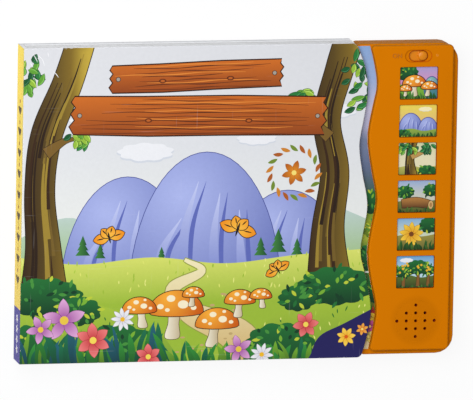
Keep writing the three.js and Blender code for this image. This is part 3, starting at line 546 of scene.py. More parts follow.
def grown(outline, width):
    # each corner moved outwards at right angles to the line between its neighbours
    along = np.roll(outline, -1, 0) - np.roll(outline, 1, 0)
    length = np.hypot(along[:, 0], along[:, 1])[:, None] + 1e-9
    across = np.column_stack((along[:, 1], -along[:, 0])) / length
    return outline + across * width * np.sign(signedArea(outline))


def signedArea(outline):
    # half the sum of the cross products of neighbouring corners, positive when they go left round
    x, y = outline.T
    return np.sum(x * np.roll(y, -1) - np.roll(x, -1) * y) / 2


def stops(*pairs, axis=1):
    # colour by position along one axis, straight between the given places
    places = np.array([pair[0] for pair in pairs], float)
    colors = np.array([linear(pair[1]) for pair in pairs])
    order = np.argsort(places)
    places, colors = places[order], colors[order]

    def shade(points):
        return np.column_stack([np.interp(points[:, axis], places, channel) for channel in colors.T])

    return shade


def fade(first, last, start, end):
    # colour along the line from start to end
    start, span = np.asarray(start, float), np.asarray(end, float) - np.asarray(start, float)
    first, last = linear(first), linear(last)

    def shade(points):
        share = np.clip((points - start) @ span / (span @ span), 0, 1)[:, None]
        return first * (1 - share) + last * share

    return shade


def glow(inner, outer, x, y, radius):
    # colour by distance from a bright point
    inner, outer = linear(inner), linear(outer)

    def shade(points):
        share = np.clip(np.hypot(points[:, 0] - x, points[:, 1] - y) / radius, 0, 1)[:, None]
        return inner * (1 - share) + outer * share

    return shade


def flat(color):
    value = linear(color)
    return lambda points: np.broadcast_to(value, (len(points), 3))


def rolledPlace(rim, level, radius):
    # the sheet follows the board's rolled edge: it drops by a quarter circle over the last of its reach
    def place(spots):
        span, farAway = np.roll(rim, -1, 0) - rim, 1e9
        gap = np.full(len(spots), farAway)
        x, y = spots.T
        near = abs(y) > bookFacts["head"] - 2 * radius
        near |= (x < 2 * radius) | (x > bookFacts["waveFrom"])
        offset = spots[near][:, None] - rim
        share = np.clip((offset * span).sum(2) / ((span**2).sum(1) + 1e-12), 0, 1)
        gap[near] = np.hypot(*np.moveaxis(offset - share[..., None] * span, 2, 0)).min(1)
        inset = radius - np.clip(gap, 0, radius)
        drop = radius - np.sqrt(radius**2 - inset**2)
        side = 1 if level > bookFacts["top"] / 2 else -1
        return placed(np.column_stack((spots, level - side * drop)))

    return place


bareTone = (230, 230, 232)  # where no layer covers the sheet


def paint(name, border, layers, place, body, material, spacing, flip=False, creases=()):
    # all outlines go into one triangulation; a triangle takes the colour of the topmost shape round it
    low, high = border.min(0), border.max(0)
    gridX, gridY = np.meshgrid(np.arange(low[0], high[0], spacing), np.arange(low[1], high[1], spacing))
    lattice = np.column_stack((gridX.ravel(), gridY.ravel()))
    outlines = [border] + [outline for outline, _ in layers]
    outlines = [outline if signedArea(outline) > 0 else outline[::-1] for outline in outlines]
    starts = np.cumsum([0] + [len(outline) for outline in outlines])
    rims = [list(range(start, end)) for start, end in zip(starts[:-1], starts[1:])]
    points = np.vstack(outlines + [lattice] + list(creases))
    folds, start = [], starts[-1] + len(lattice)
    for crease in creases:
        ring = start + np.arange(len(crease))
        folds += np.column_stack((ring, np.roll(ring, -1))).tolist()
        start += len(crease)
    insideOnly, weld = 1, 1e-4
    found = delaunay_2d_cdt(points.tolist(), folds, rims, insideOnly, weld, True)
    spots = np.array([tuple(spot) for spot in found[0]])
    inside = [(face, max(owners)) for face, owners in zip(found[2], found[5]) if 0 in owners]
    faces, owner = (np.array(column) for column in zip(*inside))
    colors = np.ones((len(faces), 3, 4))
    shades = [flat(bareTone)] + [shade if callable(shade) else flat(shade) for _, shade in layers]
    for index in np.unique(owner):
        mine = owner == index
        colors[mine, :, :3] = shades[index](spots[faces[mine]].reshape(-1, 2)).reshape(-1, 3, 3)
    used, compact = np.unique(faces, return_inverse=True)
    faces = compact.reshape(faces.shape)
    if flip:
        faces, colors = faces[:, ::-1], colors[:, ::-1]
    piece = newPiece(name, place(spots[used]), faces.tolist(), body, material, False)
    layer = piece.data.color_attributes.new("printColor", "FLOAT_COLOR", "CORNER")
    layer.data.foreach_set("color", np.clip(colors, 0, 1).ravel())
    return piece


def outlined(outline, fill, edge, width):
    # the shape on a slightly larger copy of itself
    return [(grown(outline, width), edge), (outline, fill)]


# Tones that several pictures share
blades = ((54, 150, 60), (30, 116, 78), (120, 180, 52))
lawn = ((84, 150, 60), (40, 110, 50))
bushTones = ((16, 62, 36), (34, 112, 52), (122, 178, 52))
barkTones = ((58, 36, 18), (118, 94, 38), (44, 28, 16), (160, 134, 50))
plankTones = ((112, 50, 18), (176, 84, 28), (92, 40, 16), (228, 138, 56))
branchTone, branchRim = (124, 94, 40), (52, 34, 16)
sunHeart = (250, 226, 120)
blossoms = (
    (5, 0.5, (150, 54, 150), (232, 176, 222), (236, 200, 70)),
    (6, 0.56, (196, 34, 44), (246, 132, 130), (250, 220, 90)),
    (9, 0.34, (216, 214, 226), (250, 250, 252), (246, 190, 40)),
)


def dimmed(tone, share):
    return tuple(np.array(tone) * share)


def boxOf(low, high):
    return np.array((low, (high[0], low[1]), high, (low[0], high[1])), float)


def many(maker, rows, *first):
    # the maker's layers for each row of its values, in order
    return [layer for row in rows for layer in maker(*first, *row)]


# Shapes of the pictures: each gives its layers, from the lowest to the topmost, in millimetres
def cloud(x, y, size, tone=(240, 241, 245)):
    return [(blob(x, y - size * 0.06, size * 1.02, size * 0.34, 9, 0.16, 0.4, 54), (214, 219, 228)),
            (blob(x, y, size, size * 0.32, 9, 0.16, 0.4, 54), tone)]


def dome(x, top, width, height, light=(176, 187, 240), dark=(86, 100, 178)):
    # a round hill with paler folds that follow its flank
    floor = top - height
    shade = glow(light, dark, x - width * 0.16, top - height * 0.3, height * 0.95)
    layers = outlined(blob(x, floor, width / 2, height, points=60), shade, (70, 78, 150), 0.5)
    for share, lift in ((-0.62, 0.55), (-0.3, 0.8), (0.12, 0.72), (0.5, 0.6)):
        line = [(x + width * 0.5 * share, floor + height * 0.12),
                (x + width * 0.46 * share, floor + height * lift * 0.6),
                (x + width * 0.34 * share + width * 0.05, floor + height * lift)]
        paler = fade((198, 206, 246), (120, 134, 206), line[2], line[0])
        layers.append((ribbon(line, (width * 0.07, width * 0.05, 0.3)), paler))
        shadow = [(a + width * 0.05, b) for a, b in line]
        layers.append((ribbon(shadow, (width * 0.025, width * 0.03, 0.2)), (96, 108, 186)))
    return layers


def bush(rng, x, y, rx, ry, leaves=34, size=5.5, tones=bushTones):
    dark, mid, light = tones
    layers = [(blob(x, y, rx, ry, 11, 0.14, 0.7, 60), fade(mid, dark, (x, y + ry), (x, y - ry)))]
    for _ in range(leaves):
        angle, reach = rng.uniform(0, 360), rng.uniform(0, 0.92) ** 0.6
        px = x + rx * reach * math.cos(math.radians(angle))
        py = y + ry * reach * math.sin(math.radians(angle))
        tone = (dark, mid, light, (70, 146, 60), (190, 206, 60))[rng.integers(0, 5)]
        shape = leaf(px, py, size * rng.uniform(0.6, 1.2), size * 0.42, angle + rng.uniform(-50, 50))
        layers.append((shape, tone))
    return layers


def trunk(rng, points, widths, grain=9):
    # dark side to sunny rim across the width, with bark lines along it
    middle, reach = sum(x for x, _ in points) / len(points), max(widths) * 0.62
    shade = stops((middle - reach, (52, 34, 20)), (middle - reach * 0.1, (92, 72, 28)),
                  (middle + reach * 0.55, (132, 106, 36)), (middle + reach, (196, 168, 62)), axis=0)
    layers = outlined(ribbon(points, widths, 10), shade, (40, 26, 14), 0.6)
    line = smoothLine(np.column_stack((points, widths)), 10)
    for index in range(grain):
        share = rng.uniform(-0.38, 0.34)
        first, last = (int(end * len(line) * 0.8) for end in sorted(rng.uniform(0, 1, 2)))
        part = line[first:last + 8:4]
        if len(part) > 2:
            place = part[:, :2] + np.column_stack((part[:, 2] * share, np.zeros(len(part))))
            layers.append((ribbon(place, np.linspace(2.4, 0.5, len(part)), 4), barkTones[index % 4]))
    return layers


def branch(points, widths, tone=branchTone, rim=branchRim, width=0.4):
    # a dark-rimmed band along its points
    return outlined(ribbon(points, widths), tone, rim, width)


def plank(rng, x, y, width, height, angle):
    # split board: ragged ends, dark rim, grain and nails
    ends = ((0.02, -0.46), (-0.08, -0.28), (0.05, -0.12), (-0.05, 0.04), (0.07, 0.2), (-0.04, 0.34),
            (0.03, 0.47))
    right = [(width / 2 + jag * height, level * height) for jag, level in ends]
    left = [(-width / 2 + jag * height, level * height) for jag, level in ends[::-1]]
    top = [(width * 0.15, height * 0.5), (-width * 0.22, height * 0.47)]
    foot = [(-width * 0.2, -height * 0.5), (width * 0.1, -height * 0.47)]
    shape = turned(np.array(right + top + left + foot), angle, x, y)
    wood = fade((206, 108, 34), (150, 70, 24), (x, y + height / 2), (x, y - height / 2))
    layers = outlined(shape, wood, (54, 26, 12), 0.9)
    lines = int(height / 1.5)
    for index in range(lines):
        level = -height / 2 + 1.6 + index * (height - 3.2) / max(lines - 1, 1)
        start, end = -width / 2 + rng.uniform(2, width * 0.3), width / 2 - rng.uniform(2, width * 0.35)
        wave = np.linspace(start, end, 7)
        line = turned(np.column_stack((wave, level + 0.5 * np.sin(wave * 0.12 + index * 1.9))), angle, x, y)
        layers.append((ribbon(line, (0.2, 0.6, 0.5, 0.8, 0.4, 0.6, 0.2), 4), plankTones[index % 4]))
    for side in (-1, 1):
        marks = [(side * (width / 2 - 4.5), 0), (side * width * 0.2, -height * 0.12)]
        nail, knot = turned(marks, angle, x, y)
        layers += outlined(blob(*nail, 1.3, 1.3, points=16), (168, 158, 146), (52, 28, 14), 0.4)
        layers.append((blob(*knot, 2.6, 1.5, points=20), (104, 46, 16)))
        layers.append((blob(*knot, 1.5, 0.8, points=16), (190, 98, 36)))
    return layers


def mushroom(x, y, size, lean=0.0):
    # closed smooth stem, then a half ellipse with a shallow underside and pale dots
    half = ((0.1, 0.0), (0.17, 0.08), (0.12, 0.34), (0.11, 0.6))
    rim = [(x + lean * 1.3 * rise + side * reach * size, y + rise * size)
           for side in (1, -1) for reach, rise in half[::side]]
    skin = fade((246, 238, 214), (196, 178, 140), (x - size * 0.15, y), (x + size * 0.2, y))
    layers = outlined(smoothLine(rim, 5, True), skin, (84, 62, 34), 0.4)
    angle = np.linspace(0, math.pi, 22)
    x, y = x + lean * 1.3, y + size * 0.6
    over = np.column_stack((x + size * 0.62 * np.cos(angle), y + size * 0.5 * np.sin(angle)))
    under = np.column_stack((x - size * 0.62 * np.cos(angle[::3]), y - size * 0.09 * np.sin(angle[::3])))
    warm = glow((255, 178, 56), (206, 92, 10), x - size * 0.2, y + size * 0.34, size * 0.8)
    layers += outlined(np.vstack((over, under[1:-1])), warm, (40, 22, 12), 0.55)
    dots = ((-0.36, 0.14, 0.07), (-0.12, 0.32, 0.09), (0.16, 0.18, 0.11),
            (0.4, 0.1, 0.06), (0.2, 0.4, 0.05), (-0.2, 0.06, 0.05))
    for dx, dy, reach in dots:
        dot = blob(x + dx * size, y + dy * size, reach * size * 1.1, reach * size * 0.85, points=18)
        layers.append((dot, (252, 240, 206)))
    return layers


def butterfly(x, y, size, angle):
    # two large and two small leaves for wings, with a vein in each, and a slim body
    layers = []
    for side in (-1, 1):
        for reach, width, tilt in ((1.0, 0.62, 34), (0.72, 0.56, -30)):
            spread = 90 - side * (56 + tilt * 0.9)
            shape = turned(leaf(0, 0, size * reach, size * width, spread, points=10), angle, x, y)
            wing = glow((255, 196, 70), (246, 148, 24), x, y, size * 0.9)
            layers += outlined(shape, wing, (26, 18, 16), 0.55)
            vein = turned(leaf(size * 0.3, 0, size * reach * 0.5, 0.9, 0, points=5), spread)
            layers.append((turned(vein, angle, x, y), (38, 24, 18)))
    torso = leaf(-size * 0.36, 0, size * 0.8, size * 0.13, 90) + (size * 0.36, -size * 0.4)
    layers.append((turned(torso, angle, x, y), (34, 24, 22)))
    return layers


def flower(x, y, size, petals, inner, outer, heart, turn=0.0, narrow=0.46):
    # petals at even angles round a small heart
    layers = []
    for index in range(petals):
        shape = leaf(x, y, size, size * narrow, turn + index * 360 / petals, points=9)
        layers += outlined(shape, glow(inner, outer, x, y, size), dimmed(inner, 0.72), 0.22)
    return layers + [(blob(x, y, size * 0.2, size * 0.2, points=16), heart)]


def grass(rng, xs, base, tall, tones, width=2.6):
    # one leaning blade at each X, dark at its foot
    layers = []
    for x in xs:
        tone = tones[rng.integers(0, len(tones))]
        length = tall * rng.uniform(0.55, 1.1)
        lean = rng.uniform(-26, 26)
        shape = leaf(x, base, length, width * rng.uniform(0.7, 1.4), 90 - lean, lean / 260, 9)
        layers.append((shape, fade(dimmed(tone, 0.5), tone, (x, base), (x + lean * 0.3, base + length))))
    return layers


def meadow(rng, tops, light, dark, depth, count, tall=3.4):
    # a ridge that darkens downwards, with short blades strewn below its top
    xs, ys = zip(*tops)
    layers = [(ridge(tops), stops((max(ys), light), (min(ys) - depth, dark)))]
    for _ in range(count):
        x = rng.uniform(xs[0], xs[-1])
        y = np.interp(x, xs, ys) - rng.uniform(1, depth)
        tone = (light, dark, (232, 236, 130), (176, 204, 70))[rng.integers(0, 4)]
        shape = leaf(x, y, tall * rng.uniform(0.6, 1.3), 0.9, 90 + rng.uniform(-24, 24), points=5)
        layers.append((shape, tone))
    return layers


def canopy(rng, x, y, rx, ry, count, size=8.0):
    # hanging leaves, each with a dark rim and a pale middle vein
    layers = []
    for _ in range(count):
        angle, reach = rng.uniform(0, 2 * math.pi), rng.uniform(0, 1) ** 0.6
        px, py = x + rx * reach * math.cos(angle), y + ry * reach * math.sin(angle)
        tone = ((40, 122, 56), (24, 88, 46), (96, 160, 52), (150, 190, 62))[rng.integers(0, 4)]
        shape = leaf(px, py, size * rng.uniform(0.7, 1.2), size * 0.45, rng.uniform(190, 350), 0.05)
        vein = shape[[0, 2, 4, 6]] * 0.2 + shape[[0, 11, 9, 7]] * 0.2 + shape[[0, 3, 5, 7]] * 0.6
        layers += outlined(shape, tone, (16, 60, 34), 0.25)
        pale = tuple(np.minimum(np.array(tone) + 50, 255))
        layers.append((ribbon(vein, (0.15, 0.4, 0.4, 0.15), 3), pale))
    return layers


def fir(x, y, size):
    # three tiers, each narrower than the one below
    layers = []
    for tier in range(3):
        half, foot = size * (0.42 - tier * 0.1), y + tier * size * 0.3
        shape = np.array(((x - half, foot), (x + half, foot), (x, y + size * (0.55 + tier * 0.3))))
        layers.append((shape, fade((70, 140, 66), (18, 74, 44), (x - half, y), (x + half, y))))
    return layers


def wreath(x, y, radius):
    # a ring of leaves round one open flower
    layers = []
    for index in range(18):
        angle = index * 20
        px, py = x + radius * math.cos(math.radians(angle)), y + radius * math.sin(math.radians(angle))
        tone = ((176, 92, 34), (116, 142, 48), (208, 132, 44))[index % 3]
        layers.append((leaf(px, py, 7.2, 2.7, angle + 62, 0.05), tone))
    return layers + flower(x, y, 8.5, 6, (236, 150, 40), (176, 84, 22), sunHeart, 14)


def wear(rng):
    # rubbed corner and nicks at the edges, where the film has lifted from the paper
    layers = []
    for index in range(18):
        along = rng.uniform(-104, 104)
        places = ((rng.uniform(0.3, 90), 107.1, 0), (0.4, along, 90), (rng.uniform(0.3, 236), -107.2, 0))
        x, y, angle = places[index % 3]
        nick = leaf(x, y, rng.uniform(0.6, 2.0), rng.uniform(0.16, 0.3), angle, points=5)
        layers.append((nick, (222, 222, 222)))
    scratches = ((6, 104, 7, -62), (9, 103, 5, -40), (12, 101, 6, -70),
                 (16, 105, 3.4, -80), (4, 98, 4, -55), (20, 92, 6, -50))
    for x, y, length, angle in scratches:
        layers.append((leaf(x, y, length, 0.5, angle, 0.04, 6), (248, 248, 250)))
    return layers


def coverPicture():
    # sky, hills and firs, the meadow with its path, trunks and planks, then what grows in front
    rng = np.random.default_rng(11)
    sky = stops((108, (222, 223, 227)), (40, (226, 228, 232)), (-20, (238, 240, 236)))
    layers = [(boxOf((-5, -115), (255, 115)), sky)]
    layers += many(cloud, ((84, 36, 17), (214, 62, 13), (44, 58, 11), (160, 44, 12)))
    far = [(-6, -24), (30, -8), (70, -18), (110, -6), (160, -14), (200, 0), (250, -18)]
    layers.append((ridge(far), stops((0, (196, 214, 214)), (-34, (170, 200, 150)))))
    layers += many(dome, ((182, 8, 84, 68), (72, 19, 90, 81), (126, 35, 104, 99)))
    layers += many(fir, ((42, -34, 12), (54, -36, 9), (164, -36, 11), (176, -34, 14), (189, -36, 10),
                         (96, -38, 8)))
    lawnTop = [(-6, -34), (40, -40), (90, -36), (140, -41), (190, -36), (250, -32)]
    layers += meadow(rng, lawnTop, (224, 230, 112), (158, 190, 58), 26, 110)
    path = [(112, -38), (124, -46), (104, -58), (116, -74), (150, -92), (160, -122)]
    sand = stops((-38, (246, 236, 190)), (-104, (216, 184, 118)))
    layers += outlined(ribbon(path, (2.4, 5, 9, 15, 24, 36), 10), sand, (150, 160, 66), 0.7)
    for _ in range(26):
        x, y = rng.uniform(104, 150), rng.uniform(-104, -58)
        pebble = blob(x, y, rng.uniform(0.8, 1.8), rng.uniform(0.5, 1.0), points=12)
        layers.append((pebble, (196, 168, 112)))
    banks = (([(-6, -58), (26, -62), (60, -70), (92, -84), (118, -118)], 70),
             ([(150, -118), (166, -84), (196, -68), (226, -60), (250, -56)], 50))
    for tops, count in banks:
        layers += meadow(rng, tops, (176, 204, 62), (44, 116, 44), 34, count)
    left = [(16, -66), (15, -30), (12, 10), (16, 48), (30, 84), (40, 116)]
    right = [(212, -62), (210, -20), (214, 20), (208, 56), (216, 90), (224, 116)]
    layers += trunk(rng, left, (34, 24, 20, 21, 20, 19), 16)
    layers += trunk(rng, right, (32, 22, 19, 18, 19, 20), 16)
    layers += branch([(210, 44), (197, 56), (190, 70)], (8, 5, 1.4))
    layers += branch([(16, 36), (28, 44), (38, 46)], (8, 4, 1.2))
    layers += many(canopy, ((232, 84, 12, 22, 34), (192, 74, 8, 6, 12), (39, 48, 7, 5, 12),
                            (6, 92, 9, 14, 20)), rng)
    layers += many(bush, ((16, -62, 24, 12), (40, -72, 14, 9, 20), (216, -58, 24, 12),
                          (190, -66, 12, 8, 18)), rng)
    layers += many(plank, ((118, 87, 116, 19, 1.5), (120, 60, 172, 27, -1.0)), rng)
    layers += wreath(186, 20, 15)
    layers += many(bush, ((66, -98, 26, 15, 46), (178, -98, 22, 14, 36), (8, -98, 16, 16, 24)), rng)
    layers += many(mushroom, ((104, -92, 30, 2), (84, -84, 19, -2), (131, -98, 24, 3),
                              (149, -78, 17, 1), (166, -72, 12, -1), (117, -70, 12, 1)))
    layers += many(butterfly, ((60, -22, 11, 14), (148, -18, 13, -18), (176, -46, 9, 30)))
    layers += grass(rng, np.linspace(-2, 100, 46), -112, 30, blades + ((36, 104, 120),), 4.2)
    layers += grass(rng, np.linspace(104, 200, 40), -114, 20, blades, 3.4)
    flowers = ((30, -78, 15, 0), (14, -84, 10, 0), (50, -92, 12, 1), (88, -104, 9, 1),
               (150, -100, 10, 0), (196, -84, 9, 1), (166, -104, 8, 2), (70, -78, 8, 2))
    for x, y, size, kind in flowers:
        petals, narrow, inner, outer, heart = blossoms[kind]
        layers += flower(x, y, size, petals, inner, outer, heart, x * 3.1, narrow)
    corner = [(196, -122), (200, -104), (206, -92), (222, -84), (246, -72), (262, -66), (262, -122)]
    layers.append((smoothLine(corner, 6, True), (36, 33, 92)))
    layers += flower(224, -93, 6.5, 7, (250, 176, 30), (255, 222, 90), (226, 96, 20), 8)
    layers += flower(235, -88, 4.2, 6, (236, 120, 30), (250, 190, 80), sunHeart, 20)
    return layers + wear(rng)


def flatPlace(level):
    return lambda spots: placed(spots, level)


def boardPlace(outline, level):
    # for a print that is folded over a board's rolled edge
    return rolledPlace(outline(0.0), level, bookFacts["edgeRound"])


def boardCreases(outline):
    # rings along which the print has corners, so that it can bend there
    return [outline(bookFacts["edgeRound"] * share) for share in bookFacts["creases"]]


coverTop = bookFacts["top"] + bookFacts["paperLift"]
paint("cover_picture", coverOutline(bookFacts["printInset"]), coverPicture(),
      boardPlace(coverOutline, coverTop), "cover", "print", 4.0,
      creases=boardCreases(coverOutline))
print("stage: cover picture")


def leafPattern(rng, border, base, tones, count, size):
    # sprigs of three leaves, one to a field of a loose grid
    low, high = border.min(0) - 4, border.max(0) + 4
    layers = [(boxOf(low, high), base)]
    columns = max(int(math.sqrt(count * (high[0] - low[0]) / (high[1] - low[1]))), 1)
    rows = math.ceil(count / columns)
    for index in range(count):
        x = low[0] + (index % columns + 0.5 + rng.uniform(-0.25, 0.25)) * (high[0] - low[0]) / columns
        y = low[1] + (index // columns + 0.5 + rng.uniform(-0.25, 0.25)) * (high[1] - low[1]) / rows
        angle = rng.uniform(0, 360)
        for turn in (-34, 0, 34):
            layers.append((leaf(x, y, size, size * 0.34, angle + turn), tones[(index + turn) % len(tones)]))
    return layers


def landscape(rng, low, high, sky, far, near, flowers):
    # sky, clouds, far hills, a meadow, bushes and a row of flowers, all as shares of the sheet
    (left, foot), (width, height) = low, high - low
    xs = np.linspace(left - 4, high[0] + 4, 7)

    def line(share, swing, turn):
        return [(x, foot + height * (share + swing * math.sin(index * 1.7 + turn)))
                for index, x in enumerate(xs)]

    layers = [(boxOf(low - 4, high + 4), stops((high[1], sky[0]), (foot + height * 0.4, sky[1])))]
    for across, up, size in ((0.28, 0.8, 0.1), (0.7, 0.7, 0.08)):
        layers += cloud(left + width * across, foot + height * up, width * size)
    hills = stops((foot + height * 0.5, far[0]), (foot + height * 0.3, far[1]))
    layers.append((ridge(line(0.45, 0.06, 0.4), foot - 9), hills))
    layers += meadow(rng, line(0.3, 0.03, 1.2), near[0], near[1], height * 0.26, 40, height * 0.02)
    for share in (0.14, 0.36, 0.62, 0.86):
        x, y = left + width * share, foot + height * 0.06
        layers += bush(rng, x, y, width * 0.08, height * 0.08, 18, width * 0.02)
    for index in range(flowers):
        tone = ((232, 176, 222), (250, 222, 90), (246, 132, 130), (250, 250, 252))[index % 4]
        x, y = left + width * (index + 0.5) / flowers, foot + height * (0.05 + 0.09 * ((index * 7) % 3) / 2)
        layers += flower(x, y, width * 0.018, 5, dimmed(tone, 0.7), tone, (250, 200, 60), index * 31)
    return layers


def backPicture(border):
    # the cover's hills without its trunks and planks
    rng = np.random.default_rng(21)
    layers = [(border, stops((100, (224, 226, 230)), (0, (236, 238, 236))))]
    layers += many(cloud, ((60, 62, 15), (176, 50, 18))) + many(dome, ((70, -6, 70, 64), (168, 8, 96, 80)))
    tops = [(-6, -44), (60, -52), (130, -46), (190, -52), (250, -44)]
    layers += meadow(rng, tops, (214, 222, 100), (120, 170, 56), 40, 90)
    layers += many(bush, ((18, -80, 24, 16, 26), (214, -82, 26, 18, 28)), rng)
    layers += many(mushroom, ((108, -92, 20), (130, -96, 14)))
    layers += grass(rng, np.linspace(0, 238, 70), -114, 18, blades, 3.6)
    for x, y in ((40, -92), (78, -98), (160, -94), (190, -98)):
        layers += flower(x, y, 8, 6, (150, 54, 150), (232, 176, 222), (236, 200, 70), x)
    return layers


insideSettings = {"gap": 0.03, "pageMargin": 0.5, "glueEdge": 1.2, "sprigs": 130, "sprigSize": 8}


def makeInsidePrints(settings):
    # endpaper inside the cover, the picture on the first leaf, and the outside of the back board
    gap, margin = settings["gap"], settings["pageMargin"]
    inner = leafOutline(coverStations, settings["glueEdge"], margin, bookFacts["corner"])
    tones = ((112, 158, 70), (86, 136, 66), (150, 184, 92), (64, 118, 60))
    sprigs = (settings["sprigs"], settings["sprigSize"])
    endpaper = leafPattern(np.random.default_rng(3), inner, (206, 220, 150), tones, *sprigs)
    paint("cover_endpaper", inner, endpaper, flatPlace(bookFacts["bottom"] - gap),
          "cover", "label", 8, True)
    low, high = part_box("page_block")
    page = leafOutline(pageStations, (low[0] - spineX) / mm, margin)
    sky, far, near = (((176, 212, 236), (236, 240, 226)), ((150, 190, 150), (120, 170, 120)),
                      ((206, 218, 96), (84, 146, 56)))
    scenery = landscape(np.random.default_rng(5), page.min(0), page.max(0), sky, far, near, 16)
    bole = [(30, -70), (28, 0), (36, 60), (44, 116)]
    scenery += trunk(np.random.default_rng(9), bole, (24, 17, 15, 16), 10)
    scenery += canopy(np.random.default_rng(10), 40, 88, 36, 18, 60, 9)
    paint("first_page_picture", page, scenery, flatPlace(high[2] / mm + gap),
          "book", "label", 6)
    low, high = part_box("back_cover")
    stations = edgeStations("back_cover", high[2] / mm, 1)

    def outline(inset):
        return leafOutline(stations, 0, inset)

    back = outline(bookFacts["printInset"])
    paint("back_picture", back, backPicture(grown(back, 4)), boardPlace(outline, low[2] / mm - gap),
          "book", "print", 7, True, boardCreases(outline))


makeInsidePrints(insideSettings)
print("stage: inside and back prints")

spineSettings = {"lift": 0.12, "low": 0.35, "high": 21.72, "tail": -107.45, "violetTop": -70.6,
                 "sprigs": 9, "firstSprig": 62, "sprigStep": 14.4}


def makeSpineWrap(settings):
    # printed paper round the spine, painted on a sheet whose first axis is the height above the table
    rng = np.random.default_rng(31)
    low, high, tail = settings["low"], settings["high"], settings["tail"]
    border = boxOf((low, tail), (high, -tail))
    layers = [(grown(border, 3), stops((107, (250, 222, 84)), (-70, (244, 214, 96))))]
    middle, twig = (low + high) / 2, (84, 64, 26)
    for index in range(settings["sprigs"]):
        y = settings["firstSprig"] - index * settings["sprigStep"]
        for side in (-1, 1):
            layers.append((leaf(middle, y - 1, 7.6, 4.2, 90 + side * 50, side * -0.16), twig))
        stem = [(middle, y - 5), (middle + 0.3, y), (middle, y + 6)]
        layers.append((ribbon(stem, (0.6, 0.9, 0.4)), twig))
        layers.append((blob(middle, y + 8.2, 1.5, 1.5, points=14), (140, 72, 26)))
    layers.append((boxOf((low - 3, tail - 3), (high + 3, settings["violetTop"])), (73, 65, 152)))
    for y in (-78, -85, -92, -99):
        turn = rng.uniform(0, 70)
        layers += flower(middle, y, 3.3, 5, (214, 214, 236), (246, 246, 252), (250, 214, 90), turn, 0.5)

    def place(spots):
        return np.column_stack((np.full(len(spots), spineX - settings["lift"] * mm), spots[:, ::-1] * mm))

    paint("spine_wrap", border, layers, place, "book", "spinePaper", 5)


makeSpineWrap(spineSettings)

shelfSettings = {"lift": 0.03, "rim": 0.02, "steps": 200}


def makeShelfPicture(settings):
    # continues the landscape down the narrow shelf between cover and housing
    low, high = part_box("shelf_label")
    left, right = (edgeStations("shelf_label", high[2] / mm, side) for side in (-1, 1))
    share = np.linspace(0, 1, settings["steps"])
    y = (low[1] + share * (high[1] - low[1])) / mm
    near, far = curveThrough(left, share) + settings["rim"], curveThrough(right, share) - settings["rim"]
    border = np.vstack((np.column_stack((far, y)), np.column_stack((near, y))[::-1]))
    base = stops((106, (138, 170, 216)), (82, (158, 180, 222)), (62, (200, 200, 228)),
                 (50, (180, 182, 212)), (42, (122, 134, 164)), (22, (98, 112, 144)), (8, (76, 102, 100)),
                 (0, (38, 82, 44)), (-8, (120, 150, 44)), (-26, (172, 186, 60)), (-33, (84, 130, 46)),
                 (-49, (58, 104, 44)), (-70, (70, 112, 40)), (-77, (148, 44, 40)), (-84, (224, 190, 58)),
                 (-91, (196, 96, 150)), (-97, (226, 204, 150)), (-104, (222, 206, 168)))
    layers = [(boxOf((225, -115), (260, 115)), base)]
    rng = np.random.default_rng(41)
    sunny = ((90, 120, 30), (150, 170, 44), (214, 220, 90))
    layers += many(bush, ((240, -2, 9, 7, 30, 3.4), (243, -20, 8, 6, 34, 2.8, sunny),
                          (239, -40, 9, 8, 34, 3.2), (244, -62, 9, 8, 26, 3.6)), rng)
    layers.append((ribbon([(230, -50), (240, -49.6), (256, -50.4)], (0.9, 1.1, 0.9)), (226, 232, 226)))
    flowers = ((240, -76, (186, 40, 40)), (245, -81, (240, 200, 60)), (241, -87, (214, 90, 160)),
               (246, -92, (236, 170, 210)), (240, -94, (246, 226, 120)))
    for x, y, tone in flowers:
        layers += flower(x, y, 4.6, 6, dimmed(tone, 0.66), tone, sunHeart, y * 2.0, 0.56)
    layers += grass(rng, np.linspace(230, 252, 12), -76, 9, ((54, 140, 56), (110, 170, 50)), 1.7)
    paint("shelf_picture", border, layers, flatPlace(high[2] / mm + settings["lift"]),
          "book", "label", 3)


makeShelfPicture(shelfSettings)

# A button scene: the sky's two tones, the ground's level and tones, and the blades' count, height,
# tones and width
buttonSettings = {
    "lift": 0.02, "rim": 0.14, "corner": 0.8,
    "scenes": (
        ((166, 160, 212), (218, 150, 190), -0.1, ((140, 190, 62), (84, 150, 50)), (16, 6, lawn, 1.4)),
        ((240, 222, 84), (232, 196, 120), -0.55, ((150, 176, 72), (92, 132, 60)), (14, 5, lawn, 1.2)),
        ((206, 216, 170), (232, 224, 186), -0.5, ((190, 186, 96), (140, 150, 66)), (0, 5, lawn, 1.2)),
        ((150, 176, 220), (206, 206, 190), -0.3, ((128, 130, 60), (70, 84, 40)),
         (14, 5, ((84, 130, 50), (40, 96, 44)), 1.2)),
        ((124, 176, 224), (206, 216, 190), -0.1, ((160, 150, 70), (100, 98, 46)),
         (20, 8, ((84, 140, 50), (50, 104, 44)), 1.5)),
        ((96, 160, 214), (190, 220, 232), -0.3, ((96, 116, 48), (48, 62, 32)), (14, 4, lawn, 1.2)),
    ),
}


